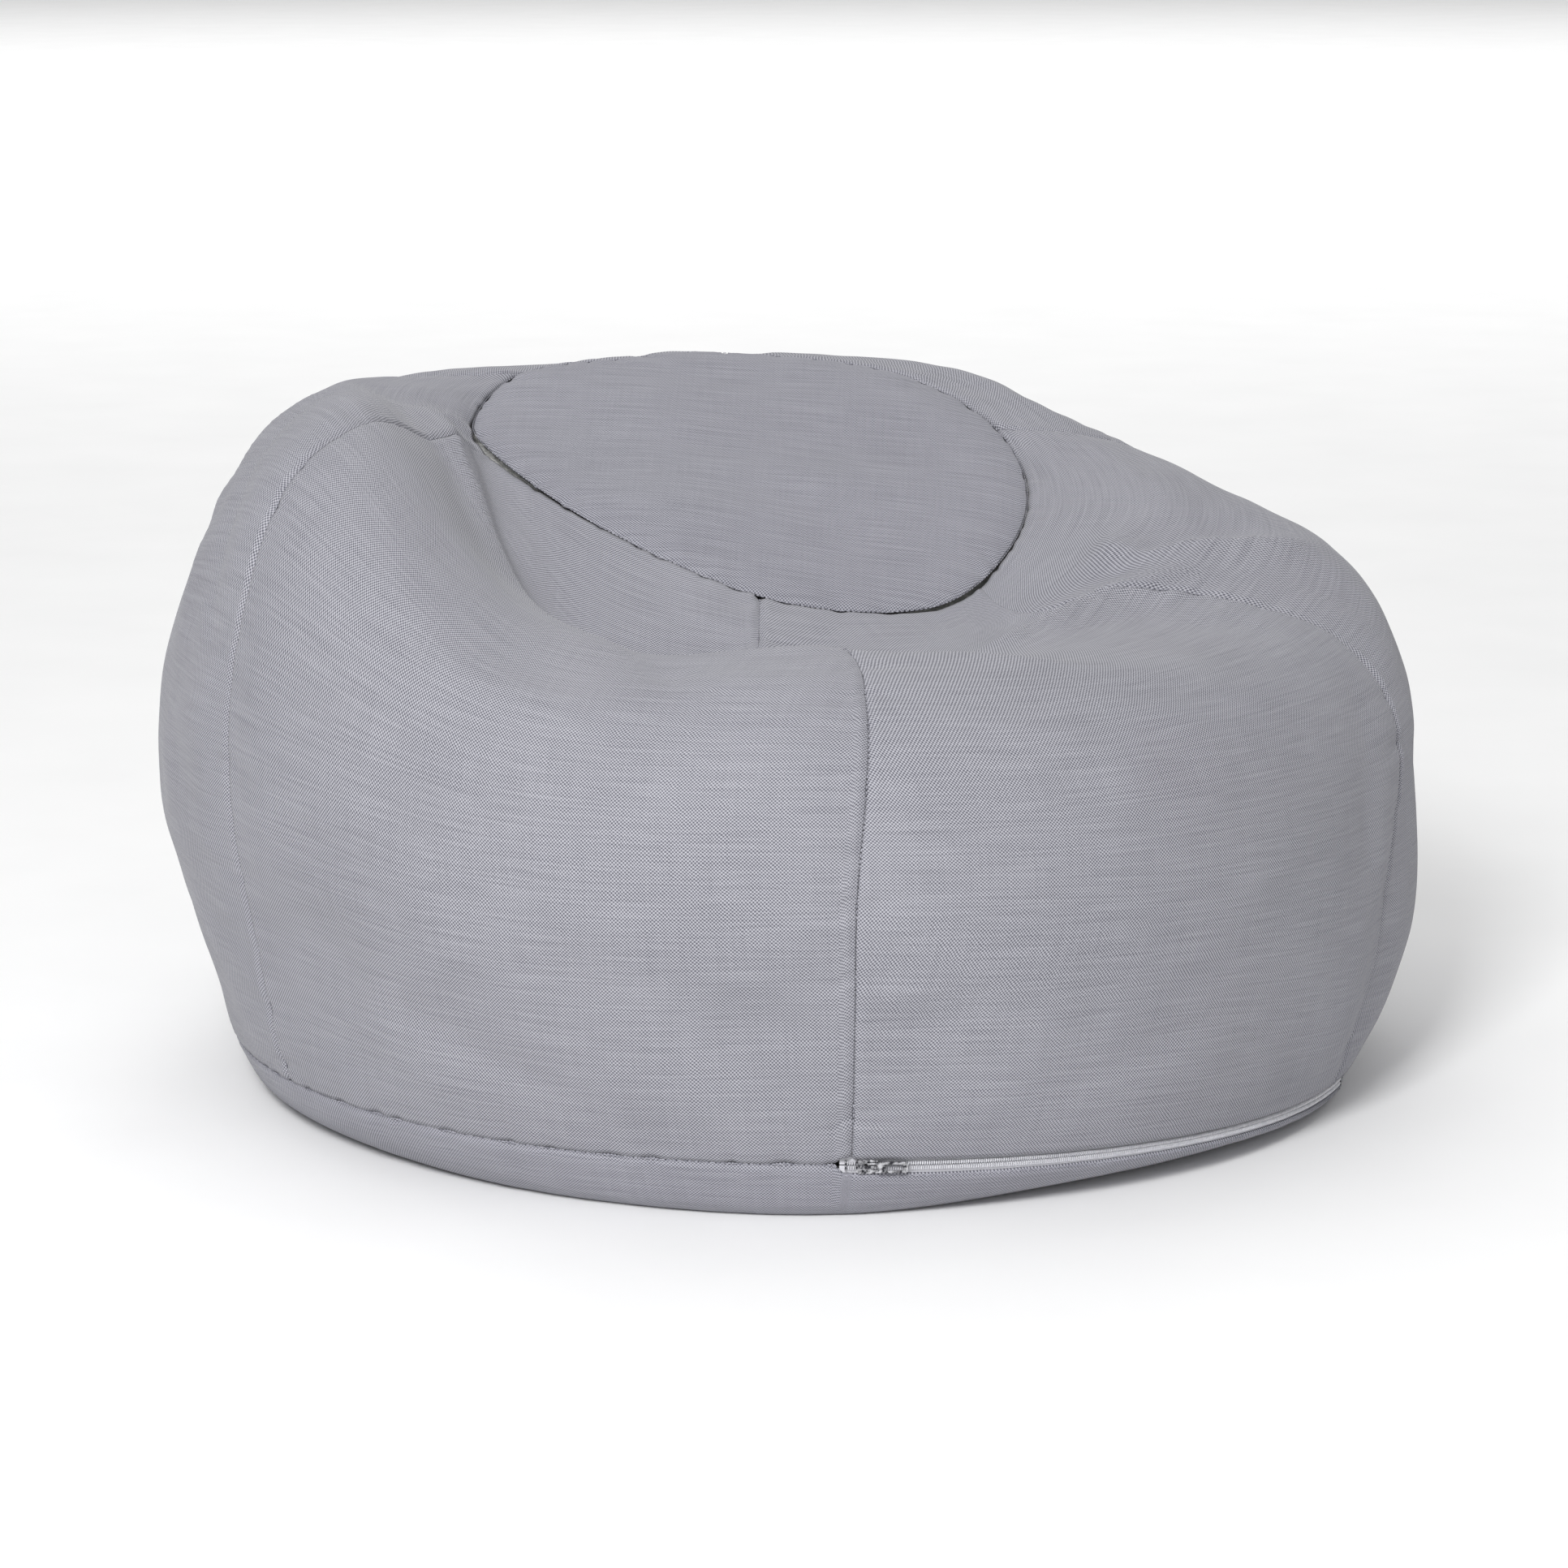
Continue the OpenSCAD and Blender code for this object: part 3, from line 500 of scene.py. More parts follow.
def cloth_piece(name, grid, flat, thick=CLOTH_THICK, closed=False, turned=False):
    """A panel with its thickness from its outer face, and a cloth coordinate in metres at every point."""
    nu, nv = grid.shape[:2]
    faces = grid_faces(nu, nv, closed)
    if turned:
        faces = faces[:, ::-1]
    piece = new_mesh_object(name, grid.reshape(-1, 3), faces)
    coordinate = piece.data.uv_layers.new(name="cloth")
    corners = np.zeros(len(piece.data.loops), int)
    piece.data.loops.foreach_get("vertex_index", corners)
    coordinate.data.foreach_set("uv", flat.reshape(-1, 2)[corners].ravel())
    if closed:
        join_middle(piece)
    wall = piece.modifiers.new("thickness", "SOLIDIFY")
    wall.thickness = thick
    wall.offset = -1
    wall.use_even_offset = False
    deselect_all()
    bpy.context.view_layer.objects.active = piece
    piece.select_set(True)
    bpy.ops.object.modifier_apply(modifier="thickness")
    return piece


# Soft swells left in the seat by the filling: place across and up the panel, height in mm, half-widths.
SEAT_WAVES = [((-.05, -.09), 3.0, .10, .035), ((.07, .04), -3.0, .09, .05), ((-.09, .07), 2.5, .05, .08),
              ((.04, -.02), 2.0, .05, .03), ((-.02, .13), -2.0, .09, .025), ((-.11, -.02), -2.0, .03, .07)]
SEAT_ROUND, SEAT_RINGS = 312, 74
RIM_ROLL, RIM_WIDE = 4.5 * MM, 16 * MM       # the seat's rim rolls over into its seam


def seat_grid():
    """Outer face of the seat panel: rings from the seam inwards, closed at the middle."""
    u = np.arange(SEAT_ROUND) * STATIONS / SEAT_ROUND
    s = 1 - np.linspace(0, 1, SEAT_RINGS) ** 1.25
    edge = row_curve(SEAT_SEAM, u)
    reach = np.linalg.norm(edge - SEAT_MID, axis=1)[:, None]
    from_edge = reach * (1 - s)[None, :]
    keep = (1 - SEAM_LIP / reach) * s[None, :]
    crown = seat_n * SEAT_CROWN * (1 - keep ** 2)[..., None]
    grid = SEAT_MID + keep[..., None] * (edge - SEAT_MID)[:, None, :] + crown
    run = np.interp(u, seam_u, seat_run)[:, None] + 0 * from_edge
    lift = RIM_ROLL * (1 - np.exp(-(from_edge / RIM_WIDE) ** 1.2))
    lift = lift - 1.2 * MM * np.exp(-(from_edge / (2.4 * MM)) ** 1.5)
    lift = lift + pucker_lift(seat_puckers, run, from_edge)
    flat_at = grid - SEAT_MID
    x, y = flat_at @ seat_x, flat_at @ seat_y
    for place, height, wide, deep in SEAT_WAVES:
        swell = np.exp(-((x - place[0]) / wide) ** 2 - ((y - place[1]) / deep) ** 2)
        lift = lift + height * MM * swell * (1 - s[None, :] ** 6)
    grid = grid + seat_n * lift[..., None]
    return grid, np.stack([x, y], -1)


BASE_ROUND = 432
LIP_HIGH, LIP_FROM, LIP_REACH = 2.6 * MM, 1 * MM, 11 * MM       # the base's lip stands over the zip's tape
SLACK_HIGH = 1.2 * MM                                            # its rim hangs in slack waves below that


def base_grid():
    """Outer face of the base panel: from the base seam down its rim and in under the bag to the middle."""
    u = np.arange(BASE_ROUND) * STATIONS / BASE_ROUND
    fine_v = np.linspace(0, BASE_SEAM, 201)
    column = skin(u, np.tile(fine_v, (BASE_ROUND, 1)))
    run = run_length(column, 1)
    on = open_for_zip(u)[:, None]
    drop = SEAM_LIP + (ZIP_DROP - SEAM_LIP) * on
    t = np.linspace(0, 1, 30)[None, :] ** .9
    top = run[:, -1:] - drop
    want = top * (1 - t)
    v = np.array([np.interp(w, r, fine_v) for w, r in zip(want, run)])
    rim = skin(u, v)
    down = top - want
    outward = -grid_normals(rim, closed=True)
    along = np.interp(u, seam_u, seam_run)[:, None] + 0 * down
    lift = pucker_lift(rim_puckers, along, down) * (1 - .8 * on)
    lift = lift - (.9 - .5 * on) * MM * np.exp(-(down / EDGE_WIDE) ** 1.5)
    lift = lift + LIP_HIGH * on * np.exp(-((down - LIP_FROM) / LIP_REACH) ** 2)
    waves = np.sin(along / .11 + 1.7 * np.sin(along / .29))
    lift = lift + SLACK_HIGH * waves * np.exp(-((down - .02) / .012) ** 2)
    rim = rim + outward * lift[..., None]
    rim[..., 2] = np.maximum(rim[..., 2], 0)
    inner = rim[:, -1:]
    share = np.linspace(1, 0, 14)[None, 1:, None]
    floor = inner * share * np.array([1, 1, 0])
    flat_run = np.linalg.norm(inner[..., :2], axis=2) * (1 - share[..., 0])
    grid = np.concatenate([rim, floor], 1)
    weft = np.concatenate([-down, -down[:, -1:] - flat_run], 1)
    warp = along[:, :1] + 0 * weft
    return grid, np.stack([warp, weft], -1)


# ---------------------------------------------------------------- stitches

STITCH_PITCH, STITCH_LONG, STITCH_R = 3.5 * MM, 2.3 * MM, .4 * MM


def stitch_shape():
    """One stitch lying along X: a ball drawn out to a short rounded rod."""
    deselect_all()
    bpy.ops.mesh.primitive_uv_sphere_add(segments=6, ring_count=5, radius=STITCH_R)
    rod = bpy.context.active_object
    bpy.ops.object.mode_set(mode="EDIT")
    bpy.ops.mesh.select_all(action="DESELECT")
    bpy.ops.object.mode_set(mode="OBJECT")
    for point in rod.data.vertices:
        point.select = point.co.z > 0
    bpy.ops.object.mode_set(mode="EDIT")
    bpy.ops.transform.translate(value=(0, 0, STITCH_LONG - 2 * STITCH_R))
    bpy.ops.object.mode_set(mode="OBJECT")
    points = np.array([p.co[:] for p in rod.data.vertices])
    faces = [list(f.vertices) for f in rod.data.polygons]
    bpy.data.objects.remove(rod)
    points[:, 2] -= points[:, 2].mean()
    return points[:, [2, 0, 1]], faces


def copies(name, shape, places, along, out):
    """Copies of a small shape with its X along one direction and its Z out of the surface, as one mesh."""
    points, faces = shape
    x = along / np.linalg.norm(along, axis=1, keepdims=True)
    z = out - (out * x).sum(1, keepdims=True) * x
    z = z / np.linalg.norm(z, axis=1, keepdims=True)
    y = np.cross(z, x)
    px, py, pz = (points[None, :, k:k + 1] for k in range(3))
    turned = px * x[:, None] + py * y[:, None] + pz * z[:, None]
    every = (places[:, None] + turned).reshape(-1, 3)
    count = len(points)
    every_face = [[v + k * count for v in f] for k in range(len(places)) for f in faces]
    return new_mesh_object(name, every, every_face)


def evenly(path, pitch):
    """Points and directions at each pitch along a path of close points, and the share of it run there."""
    run = np.concatenate([[0], np.cumsum(np.linalg.norm(np.diff(path, axis=0), axis=1))])
    at = np.arange(pitch / 2, run[-1], pitch)
    place = np.stack([np.interp(at, run, path[:, k]) for k in range(3)], 1)
    ahead = np.stack([np.interp(at + .2 * MM, run, path[:, k]) for k in range(3)], 1)
    share = at / run[-1]
    return place, ahead - place, share


def surface_normal(u, v):
    """Outward direction of the form at points (u, v)."""
    e = .01
    du = skin(u + e, v[:, None])[:, 0] - skin(u - e, v[:, None])[:, 0]
    dv = skin(u, v[:, None] + e)[:, 0] - skin(u, v[:, None] - e)[:, 0]
    n = np.cross(du, dv)
    return n / np.linalg.norm(n, axis=1, keepdims=True)


def base_stitches(shape):
    """The base seam's stitches, which run below the tape where the zip is."""
    u = seam_u
    fine_v = np.linspace(1, BASE_SEAM, 81)
    column = skin(u, np.tile(fine_v, (len(u), 1)))
    run = run_length(column, 1)
    on = open_for_zip(u)
    down = (ZIP_DROP + 1.4 * MM) * on
    v = np.array([np.interp(r[-1] - d, r, fine_v) for d, r in zip(down, run)])
    out = surface_normal(u, np.minimum(v, BASE_SEAM - .02))
    path = skin(u, v[:, None])[:, 0] + out * (3.1 * on - .9)[:, None] * MM
    place, along, share = evenly(path, STITCH_PITCH)
    normal = np.stack([np.interp(share, u / STATIONS, out[:, k]) for k in range(3)], 1)
    return copies("base_seam_stitches", shape, place, along, normal)


def seat_stitches(shape):
    """The seat seam's stitches, down between the seat and the side panels."""
    u = seam_u
    out = seat_n + surface_normal(u, np.full(len(u), SEAT_SEAM - .05))
    out /= np.linalg.norm(out, axis=1, keepdims=True)
    place, along, share = evenly(row_curve(SEAT_SEAM, u) - out * 1.5 * MM, STITCH_PITCH)
    normal = np.stack([np.interp(share, u / STATIONS, out[:, k]) for k in range(3)], 1)
    return copies("seat_seam_stitches", shape, place, along, normal)


def side_stitches(shape, shift):
    """The stitches at the bottom of the six side seams."""
    places, alongs, outs = [], [], []
    for station in range(0, STATIONS, 2):
        v = np.linspace(BASE_SEAM + .12, SEAT_SEAM - .06, 400)
        u = np.full(400, float(station))
        out = surface_normal(u, v)
        moved = resample(shift, np.array([float(station)]), v[None, :])[0]
        lift = fold_lift(skin(u, v[:, None]), u, v[:, None])
        path = skin(u, v[:, None])[:, 0] + moved + out * (lift - SEAM_DEEP - .2 * MM)
        place, along, share = evenly(path, STITCH_PITCH)
        places.append(place)
        alongs.append(along)
        outs.append(np.stack([np.interp(share, np.linspace(0, 1, 400), out[:, k]) for k in range(3)], 1))
    return copies("side_seam_stitches", shape, *map(np.concatenate, (places, alongs, outs)))


# ---------------------------------------------------------------- the zip in the base seam

TAPE_BACK, TAPE_FACE = -3.0, -2.4            # mm outward of the zip's circle
TAPE_UP, TAPE_DOWN = 10.5, -7.0              # mm across it
TAPE_MEET = .35                              # mm from the zip's middle to each half's edge
TAPE_TUCK = .9                               # degrees of tape left out, hidden beyond the slider
COIL_FROM, COIL_TO = 5.6, 72.5               # azimuths of its first and last turns
COIL_PITCH = 1.5                             # mm between the turns of one coil
COIL_OUT = -1.05                             # mm of its middle outward of the zip's circle


def tape_piece(name, inner, outer):
    """One half of the zip's tape, as a thin strip of square section with a cloth coordinate along it."""
    a = np.linspace(ZIP_FROM + TAPE_TUCK, ZIP_TO, 281)
    profile = [(TAPE_FACE, inner), (TAPE_FACE, outer), (TAPE_BACK, outer), (TAPE_BACK, inner)]
    ring = []
    for (r0, z0), (r1, z1) in zip(profile, profile[1:] + profile[:1]):
        steps = 8 if abs(z1 - z0) > 2 else 2
        ring += [(r0 + (r1 - r0) * k / steps, z0 + (z1 - z0) * k / steps) for k in range(steps)]
    grid = np.stack([on_zip(a, r, z) for r, z in ring], 1)
    nu, nv = grid.shape[:2]
    i, j = np.arange(nu - 1)[:, None], np.arange(nv)[None, :]
    k = (j + 1) % nv
    faces = np.stack([i * nv + j, i * nv + k, (i + 1) * nv + k, (i + 1) * nv + j], -1).reshape(-1, 4).tolist()
    faces += [list(range(nv))[::-1], [(nu - 1) * nv + q for q in range(nv)]]
    piece = new_mesh_object(name, grid.reshape(-1, 3), faces, smooth=False)
    deselect_all()
    bpy.context.view_layer.objects.active = piece
    piece.select_set(True)
    bpy.ops.object.mode_set(mode="EDIT")
    bpy.ops.mesh.select_all(action="SELECT")
    bpy.ops.mesh.normals_make_consistent(inside=False)
    bpy.ops.object.mode_set(mode="OBJECT")
    flat = np.stack([np.broadcast_to((a * RAD * ZIP_R * MM)[:, None], (nu, nv)),
                     np.broadcast_to(np.array([z for _, z in ring])[None, :] * MM, (nu, nv))], -1)
    coordinate = piece.data.uv_layers.new(name="cloth")
    corners = np.zeros(len(piece.data.loops), int)
    piece.data.loops.foreach_get("vertex_index", corners)
    coordinate.data.foreach_set("uv", flat.reshape(-1, 2)[corners].ravel())
    return piece


def coil_turn(side):
    """One turn of the coil's filament: a flattened loop from the zip's middle back to the tape."""
    deselect_all()
    bpy.ops.mesh.primitive_torus_add(major_segments=10, minor_segments=4, major_radius=1.0 * MM,
                                     minor_radius=.36 * MM)
    loop = bpy.context.active_object
    points = np.array([p.co[:] for p in loop.data.vertices])
    faces = [list(f.vertices) for f in loop.data.polygons]
    bpy.data.objects.remove(loop)
    # stood on its edge: X along the zip, Y across it, Z out of it
    stood = points[:, [2, 0, 1]]
    stood[:, 1] = stood[:, 1] * 1.2 + side * 1.55 * MM
    stood[:, 2] *= .92
    return stood, [f[::-1] for f in faces]


def coil_piece(name, side, stagger):
    """One half of the coil, its turns between those of the other half."""
    a = np.arange(COIL_FROM + stagger * COIL_PITCH / ZIP_R / RAD, COIL_TO, COIL_PITCH / ZIP_R / RAD)
    place = on_zip(a, COIL_OUT, 0)
    along = on_zip(a + .05, COIL_OUT, 0) - place
    out = on_zip(a, 0, 0) - on_zip(a, -1, 0)
    return copies(name, coil_turn(side), place, along, out)


# ---------------------------------------------------------------- finishes

def colour(code):
    """An sRGB hex colour as the linear colour that shaders take."""
    parts = [int(code[i:i + 2], 16) / 255 for i in (1, 3, 5)]
    return tuple(c / 12.92 if c <= .04045 else ((c + .055) / 1.055) ** 2.4 for c in parts) + (1.0,)


def add(tree, kind, links=None, **settings):
    """Adds a node. Settings are its properties or inputs by name; links feed inputs from other sockets."""
    made = tree.nodes.new("ShaderNode" + kind)
    for key, value in settings.items():
        key = key.replace("_", " ") if not hasattr(made, key) else key
        if hasattr(made, key):
            setattr(made, key, value)
        else:
            made.inputs[key].default_value = value
    for key, source in (links or {}).items():
        tree.links.new(source, made.inputs[key])
    return made


def new_material(name):
    """An empty node material: the material, its tree and its Principled surface."""
    material = bpy.data.materials.new(name)
    material.use_nodes = True
    tree = material.node_tree
    tree.nodes.clear()
    surface = add(tree, "BsdfPrincipled")
    add(tree, "OutputMaterial", {"Surface": surface.outputs[0]})
    return material, tree, surface


def maths(tree, operation, a, b=None):
    """One arithmetic node on numbers or sockets."""
    made = tree.nodes.new("ShaderNodeMath")
    made.operation = operation
    for k, value in enumerate((a, b)):
        if value is None:
            continue
        if hasattr(value, "links"):
            tree.links.new(value, made.inputs[k])
        else:
            made.inputs[k].default_value = value
    return made.outputs[0]


def shade(tree, factor, stops):
    """A smooth run of colours along a factor; stops are (place, hex)."""
    made = tree.nodes.new("ShaderNodeValToRGB")
    tree.links.new(factor, made.inputs[0])
    band = made.color_ramp
    while len(band.elements) < len(stops):
        band.elements.new(.5)
    for element, (place, code) in zip(band.elements, stops):
        element.position = place
        element.color = colour(code)
    return made.outputs[0]


# The real yarns stand about 0.85 mm apart. They are drawn 1.15 mm apart, coarser than real, so that the
# weave isn't lost at this size.
WEAVE_PITCH = 1.15


def heather_weave(name, pitch_mm, light, dark, turned=0.0, streak=.36):
    """Plain-woven polyester with a light weft over a darker warp: a dotted grey that runs into faint
    level streaks where one yarn is thicker than the next."""
    material, tree, surface = new_material(name)
    place = add(tree, "UVMap", uv_map="cloth")
    lay = add(tree, "Mapping", {"Vector": place.outputs[0]})
    lay.inputs["Scale"].default_value = (1 / (pitch_mm * MM),) * 3
    lay.inputs["Rotation"].default_value = (0, 0, turned)
    split = add(tree, "SeparateXYZ", {"Vector": lay.outputs[0]})
    x, y = split.outputs[0], split.outputs[1]
    # yarns wander a little, so the dots don't stand in ruled lines
    wander = add(tree, "TexNoise", {"Vector": lay.outputs[0]}, Scale=.11, Detail=2.0)
    x = maths(tree, "ADD", x, maths(tree, "MULTIPLY", wander.outputs[0], 1.6))
    y = maths(tree, "ADD", y, maths(tree, "MULTIPLY", wander.outputs[0], 1.1))
    across = maths(tree, "SINE", maths(tree, "MULTIPLY", x, math.pi))
    upward = maths(tree, "SINE", maths(tree, "MULTIPLY", y, math.pi))
    over = maths(tree, "MULTIPLY", across, upward)
    # each weft yarn and each warp yarn has its own thickness and shade along its length
    weft_lay = add(tree, "Mapping", {"Vector": lay.outputs[0]})
    weft_lay.inputs["Scale"].default_value = (.018, .62, 1)
    weft = add(tree, "TexNoise", {"Vector": weft_lay.outputs[0]}, Scale=1.0, Detail=2.0, Roughness=.6)
    warp_lay = add(tree, "Mapping", {"Vector": lay.outputs[0]})
    warp_lay.inputs["Scale"].default_value = (.6, .02, 1)
    warp = add(tree, "TexNoise", {"Vector": warp_lay.outputs[0]}, Scale=1.0, Detail=1.0)
    slub = maths(tree, "SUBTRACT", weft.outputs[0], .5)
    stray = maths(tree, "SUBTRACT", warp.outputs[0], .5)
    blotch = add(tree, "TexNoise", {"Vector": place.outputs[0]}, Scale=9.0, Detail=3.0)
    tone = maths(tree, "ADD", maths(tree, "MULTIPLY", over, .5), .5)
    tone = maths(tree, "ADD", tone, maths(tree, "MULTIPLY", slub, streak))
    tone = maths(tree, "ADD", tone, maths(tree, "MULTIPLY", stray, .1))
    uneven = maths(tree, "MULTIPLY", maths(tree, "SUBTRACT", blotch.outputs[0], .5), .12)
    tone = maths(tree, "ADD", tone, uneven)
    tree.links.new(shade(tree, tone, [(.08, dark), (.92, light)]), surface.inputs["Base Color"])
    high = maths(tree, "ADD", maths(tree, "ABSOLUTE", over), maths(tree, "MULTIPLY", slub, .7))
    relief = add(tree, "Bump", {"Height": high}, Strength=.45, Distance=.16 * MM)
    tree.links.new(relief.outputs[0], surface.inputs["Normal"])
    surface.inputs["Roughness"].default_value = .82
    surface.inputs["Sheen Weight"].default_value = .12
    surface.inputs["Sheen Roughness"].default_value = .5
    surface.inputs["Specular IOR Level"].default_value = .25
    return material


def twisted_thread(name, light, dark):
    """Spun polyester sewing thread: matt, with the twist of its plies showing as fine slanted bands."""
    material, tree, surface = new_material(name)
    place = add(tree, "TexCoord")
    plies = add(tree, "TexWave", {"Vector": place.outputs["Object"]}, Scale=1 / (1.1 * MM) / 6.3,
                Distortion=2.0)
    plies.bands_direction = "DIAGONAL"
    # the colour follows the plies' relief: painted shade in the grooves of the twist
    tree.links.new(shade(tree, plies.outputs["Fac"], [(.2, dark), (.8, light)]), surface.inputs["Base Color"])
    relief = add(tree, "Bump", {"Height": plies.outputs["Fac"]}, Strength=.3, Distance=.08 * MM)
    tree.links.new(relief.outputs[0], surface.inputs["Normal"])
    surface.inputs["Roughness"].default_value = .7
    return material


def woven_tape(name, light, dark):
    """Knitted polyester zip tape: smooth and pale, with close ribs that run along it."""
    material, tree, surface = new_material(name)
    place = add(tree, "UVMap", uv_map="cloth")
    split = add(tree, "SeparateXYZ", {"Vector": place.outputs[0]})
    ribs = maths(tree, "SINE", maths(tree, "MULTIPLY", split.outputs[1], 2 * math.pi / (.9 * MM)))
    wales = maths(tree, "SINE", maths(tree, "MULTIPLY", split.outputs[0], 2 * math.pi / (1.2 * MM)))
    knit = maths(tree, "MULTIPLY", maths(tree, "MULTIPLY", ribs, wales), .2)
    high = maths(tree, "ADD", maths(tree, "MULTIPLY", ribs, .3), knit)
    # the colour follows the ribs' height: painted shade in the grooves between them
    tone = maths(tree, "ADD", high, .5)
    tree.links.new(shade(tree, tone, [(.1, dark), (.9, light)]), surface.inputs["Base Color"])
    relief = add(tree, "Bump", {"Height": high}, Strength=.4, Distance=.12 * MM)
    tree.links.new(relief.outputs[0], surface.inputs["Normal"])
    surface.inputs["Roughness"].default_value = .68
    return material


def nylon_filament(name, light, dark):
    """Drawn nylon monofilament: pale, slightly glossy and faintly uneven where it was wound."""
    material, tree, surface = new_material(name)
    place = add(tree, "TexCoord")
    uneven = add(tree, "TexNoise", {"Vector": place.outputs["Object"]}, Scale=420.0, Detail=2.0)
    tree.links.new(shade(tree, uneven.outputs[0], [(.3, dark), (.7, light)]), surface.inputs["Base Color"])
    surface.inputs["Roughness"].default_value = .38
    surface.inputs["IOR"].default_value = 1.53
    return material


def plated_zinc(name, light, dark):
    """Die-cast zinc with bright nickel plating: it mirrors light and dark, with tumbling marks in its
    roughness and bumps. Its colour runs from light to near black over the same noise, a painted reflection of
    dark surroundings.
    """
    material, tree, surface = new_material(name)
    place = add(tree, "TexCoord")
    tumbling_marks_and_painted_reflection = add(tree, "TexNoise", {"Vector": place.outputs["Object"]}, Scale=320.0, Detail=4.0, Roughness=.6)
    # the dark patches in this base colour are painted reflection; the plating itself is evenly bright
    tree.links.new(shade(tree, tumbling_marks_and_painted_reflection.outputs[0], [(.4, dark), (.6, light)]), surface.inputs["Base Color"])
    wear = tree.nodes.new("ShaderNodeMapRange")
    wear.inputs["To Min"].default_value, wear.inputs["To Max"].default_value = .14, .3
    tree.links.new(tumbling_marks_and_painted_reflection.outputs[0], wear.inputs["Value"])
    tree.links.new(wear.outputs[0], surface.inputs["Roughness"])
    relief = add(tree, "Bump", {"Height": tumbling_marks_and_painted_reflection.outputs[0]}, Strength=.15, Distance=.05 * MM)
    tree.links.new(relief.outputs[0], surface.inputs["Normal"])
    surface.inputs["Metallic"].default_value = 1.0
    return material


def bonded_liner(name, light, dark):
    """Spun-bonded polypropylene: white, thin, with rows of small pressed dots between random fibres."""
    material, tree, surface = new_material(name)
    place = add(tree, "TexCoord")
    dots = add(tree, "TexVoronoi", {"Vector": place.outputs["Object"]}, Scale=1 / (2.2 * MM), Randomness=.25)
    fibres = add(tree, "TexNoise", {"Vector": place.outputs["Object"]}, Scale=700.0, Detail=5.0,
                 Distortion=1.2)
    pressed = maths(tree, "MULTIPLY", dots.outputs["Distance"], .6)
    tone = maths(tree, "ADD", pressed, maths(tree, "MULTIPLY", fibres.outputs[0], .5))
    tree.links.new(shade(tree, tone, [(.15, dark), (.65, light)]), surface.inputs["Base Color"])
    relief = add(tree, "Bump", {"Height": tone}, Strength=.4, Distance=.15 * MM)
    tree.links.new(relief.outputs[0], surface.inputs["Normal"])
    surface.inputs["Roughness"].default_value = .75
    return material


def foam_beads(name, light, dark):
    """Expanded polystyrene beads: white, matt and close-packed, three to five millimetres across."""
    material, tree, surface = new_material(name)
    place = add(tree, "TexCoord")
    beads = add(tree, "TexVoronoi", {"Vector": place.outputs["Object"]}, Scale=1 / (4.5 * MM))
    # the colour darkens towards the edge of each bead: painted shade in the gaps between beads
    tone = shade(tree, beads.outputs["Distance"], [(.25, light), (.75, dark)])
    tree.links.new(tone, surface.inputs["Base Color"])
    relief = add(tree, "Bump", {"Height": beads.outputs["Distance"]}, Strength=.8, Distance=1.5 * MM)
    relief.invert = True
    tree.links.new(relief.outputs[0], surface.inputs["Normal"])
    surface.inputs["Roughness"].default_value = .6
    return material


def painted_floor(name, light, dark):
    """Matt painted studio floor: nearly white, with the faintest mottling of a roller."""
    material, tree, surface = new_material(name)
    place = add(tree, "TexCoord")
    mottle = add(tree, "TexNoise", {"Vector": place.outputs["Object"]}, Scale=6.0, Detail=3.0)
    tree.links.new(shade(tree, mottle.outputs[0], [(.3, dark), (.7, light)]), surface.inputs["Base Color"])
    surface.inputs["Roughness"].default_value = .9
    surface.inputs["Specular IOR Level"].default_value = .1
    return material


cover_weave = heather_weave("polyester_plain_weave_heather", WEAVE_PITCH, "#b3b3ba", "#494953")
seat_weave = heather_weave("polyester_plain_weave_seat", WEAVE_PITCH, "#ababb3", "#51515b", streak=.5)
base_weave = heather_weave("polyester_plain_weave_base", WEAVE_PITCH, "#b0b0b8", "#52525c", streak=.5)
seam_thread = twisted_thread("polyester_thread_spun", "#a3a3ac", "#7c7c86")
zip_tape_weave = woven_tape("polyester_tape_knitted", "#dcdce1", "#bcbcc3")
zip_coil_nylon = nylon_filament("nylon_coil_drawn", "#e2e2e6", "#c6c6cc")
nickel = plated_zinc("zinc_nickel_plated", "#d2d2d6", "#38383d")
liner_cloth = bonded_liner("polypropylene_spun_bonded", "#ececec", "#c9c9c9")
beads = foam_beads("polystyrene_beads_expanded", "#f7f7f5", "#cfcfcd")
floor_paint = painted_floor("floor_paint_matt", "#fbfbfb", "#f8f8f8")


# ---------------------------------------------------------------- making the pieces

shift = simulate_cover()
for panel, first in PANELS:
    grid, flat = side_grid(first, shift)
    finish_piece(cloth_piece("cover_" + panel, grid, flat), "bag", cover_weave, panel)

grid, flat = seat_grid()
finish_piece(cloth_piece("cover_seat_panel", grid, flat, closed=True), "bag", seat_weave,
             "seat_panel")
grid, flat = base_grid()
finish_piece(cloth_piece("cover_base_panel", grid, flat, closed=True, turned=True), "bag",
             base_weave, "base_panel")

stitch = stitch_shape()
finish_piece(side_stitches(stitch, shift), "bag", seam_thread, "side_seam_thread")
finish_piece(seat_stitches(stitch), "bag", seam_thread, "seat_seam_thread")
finish_piece(base_stitches(stitch), "bag", seam_thread, "base_seam_thread")

finish_piece(tape_piece("zip_tape_upper_woven", TAPE_MEET, TAPE_UP), "bag", zip_tape_weave,
             "zip_upper_tape")
finish_piece(tape_piece("zip_tape_lower_woven", -TAPE_MEET, TAPE_DOWN), "bag", zip_tape_weave,
             "zip_lower_tape")
finish_piece(coil_piece("zip_coil_upper_turns", 1, 0), "bag", zip_coil_nylon, "zip_upper_coil")
finish_piece(coil_piece("zip_coil_lower_turns", -1, .5), "bag", zip_coil_nylon, "zip_lower_coil")

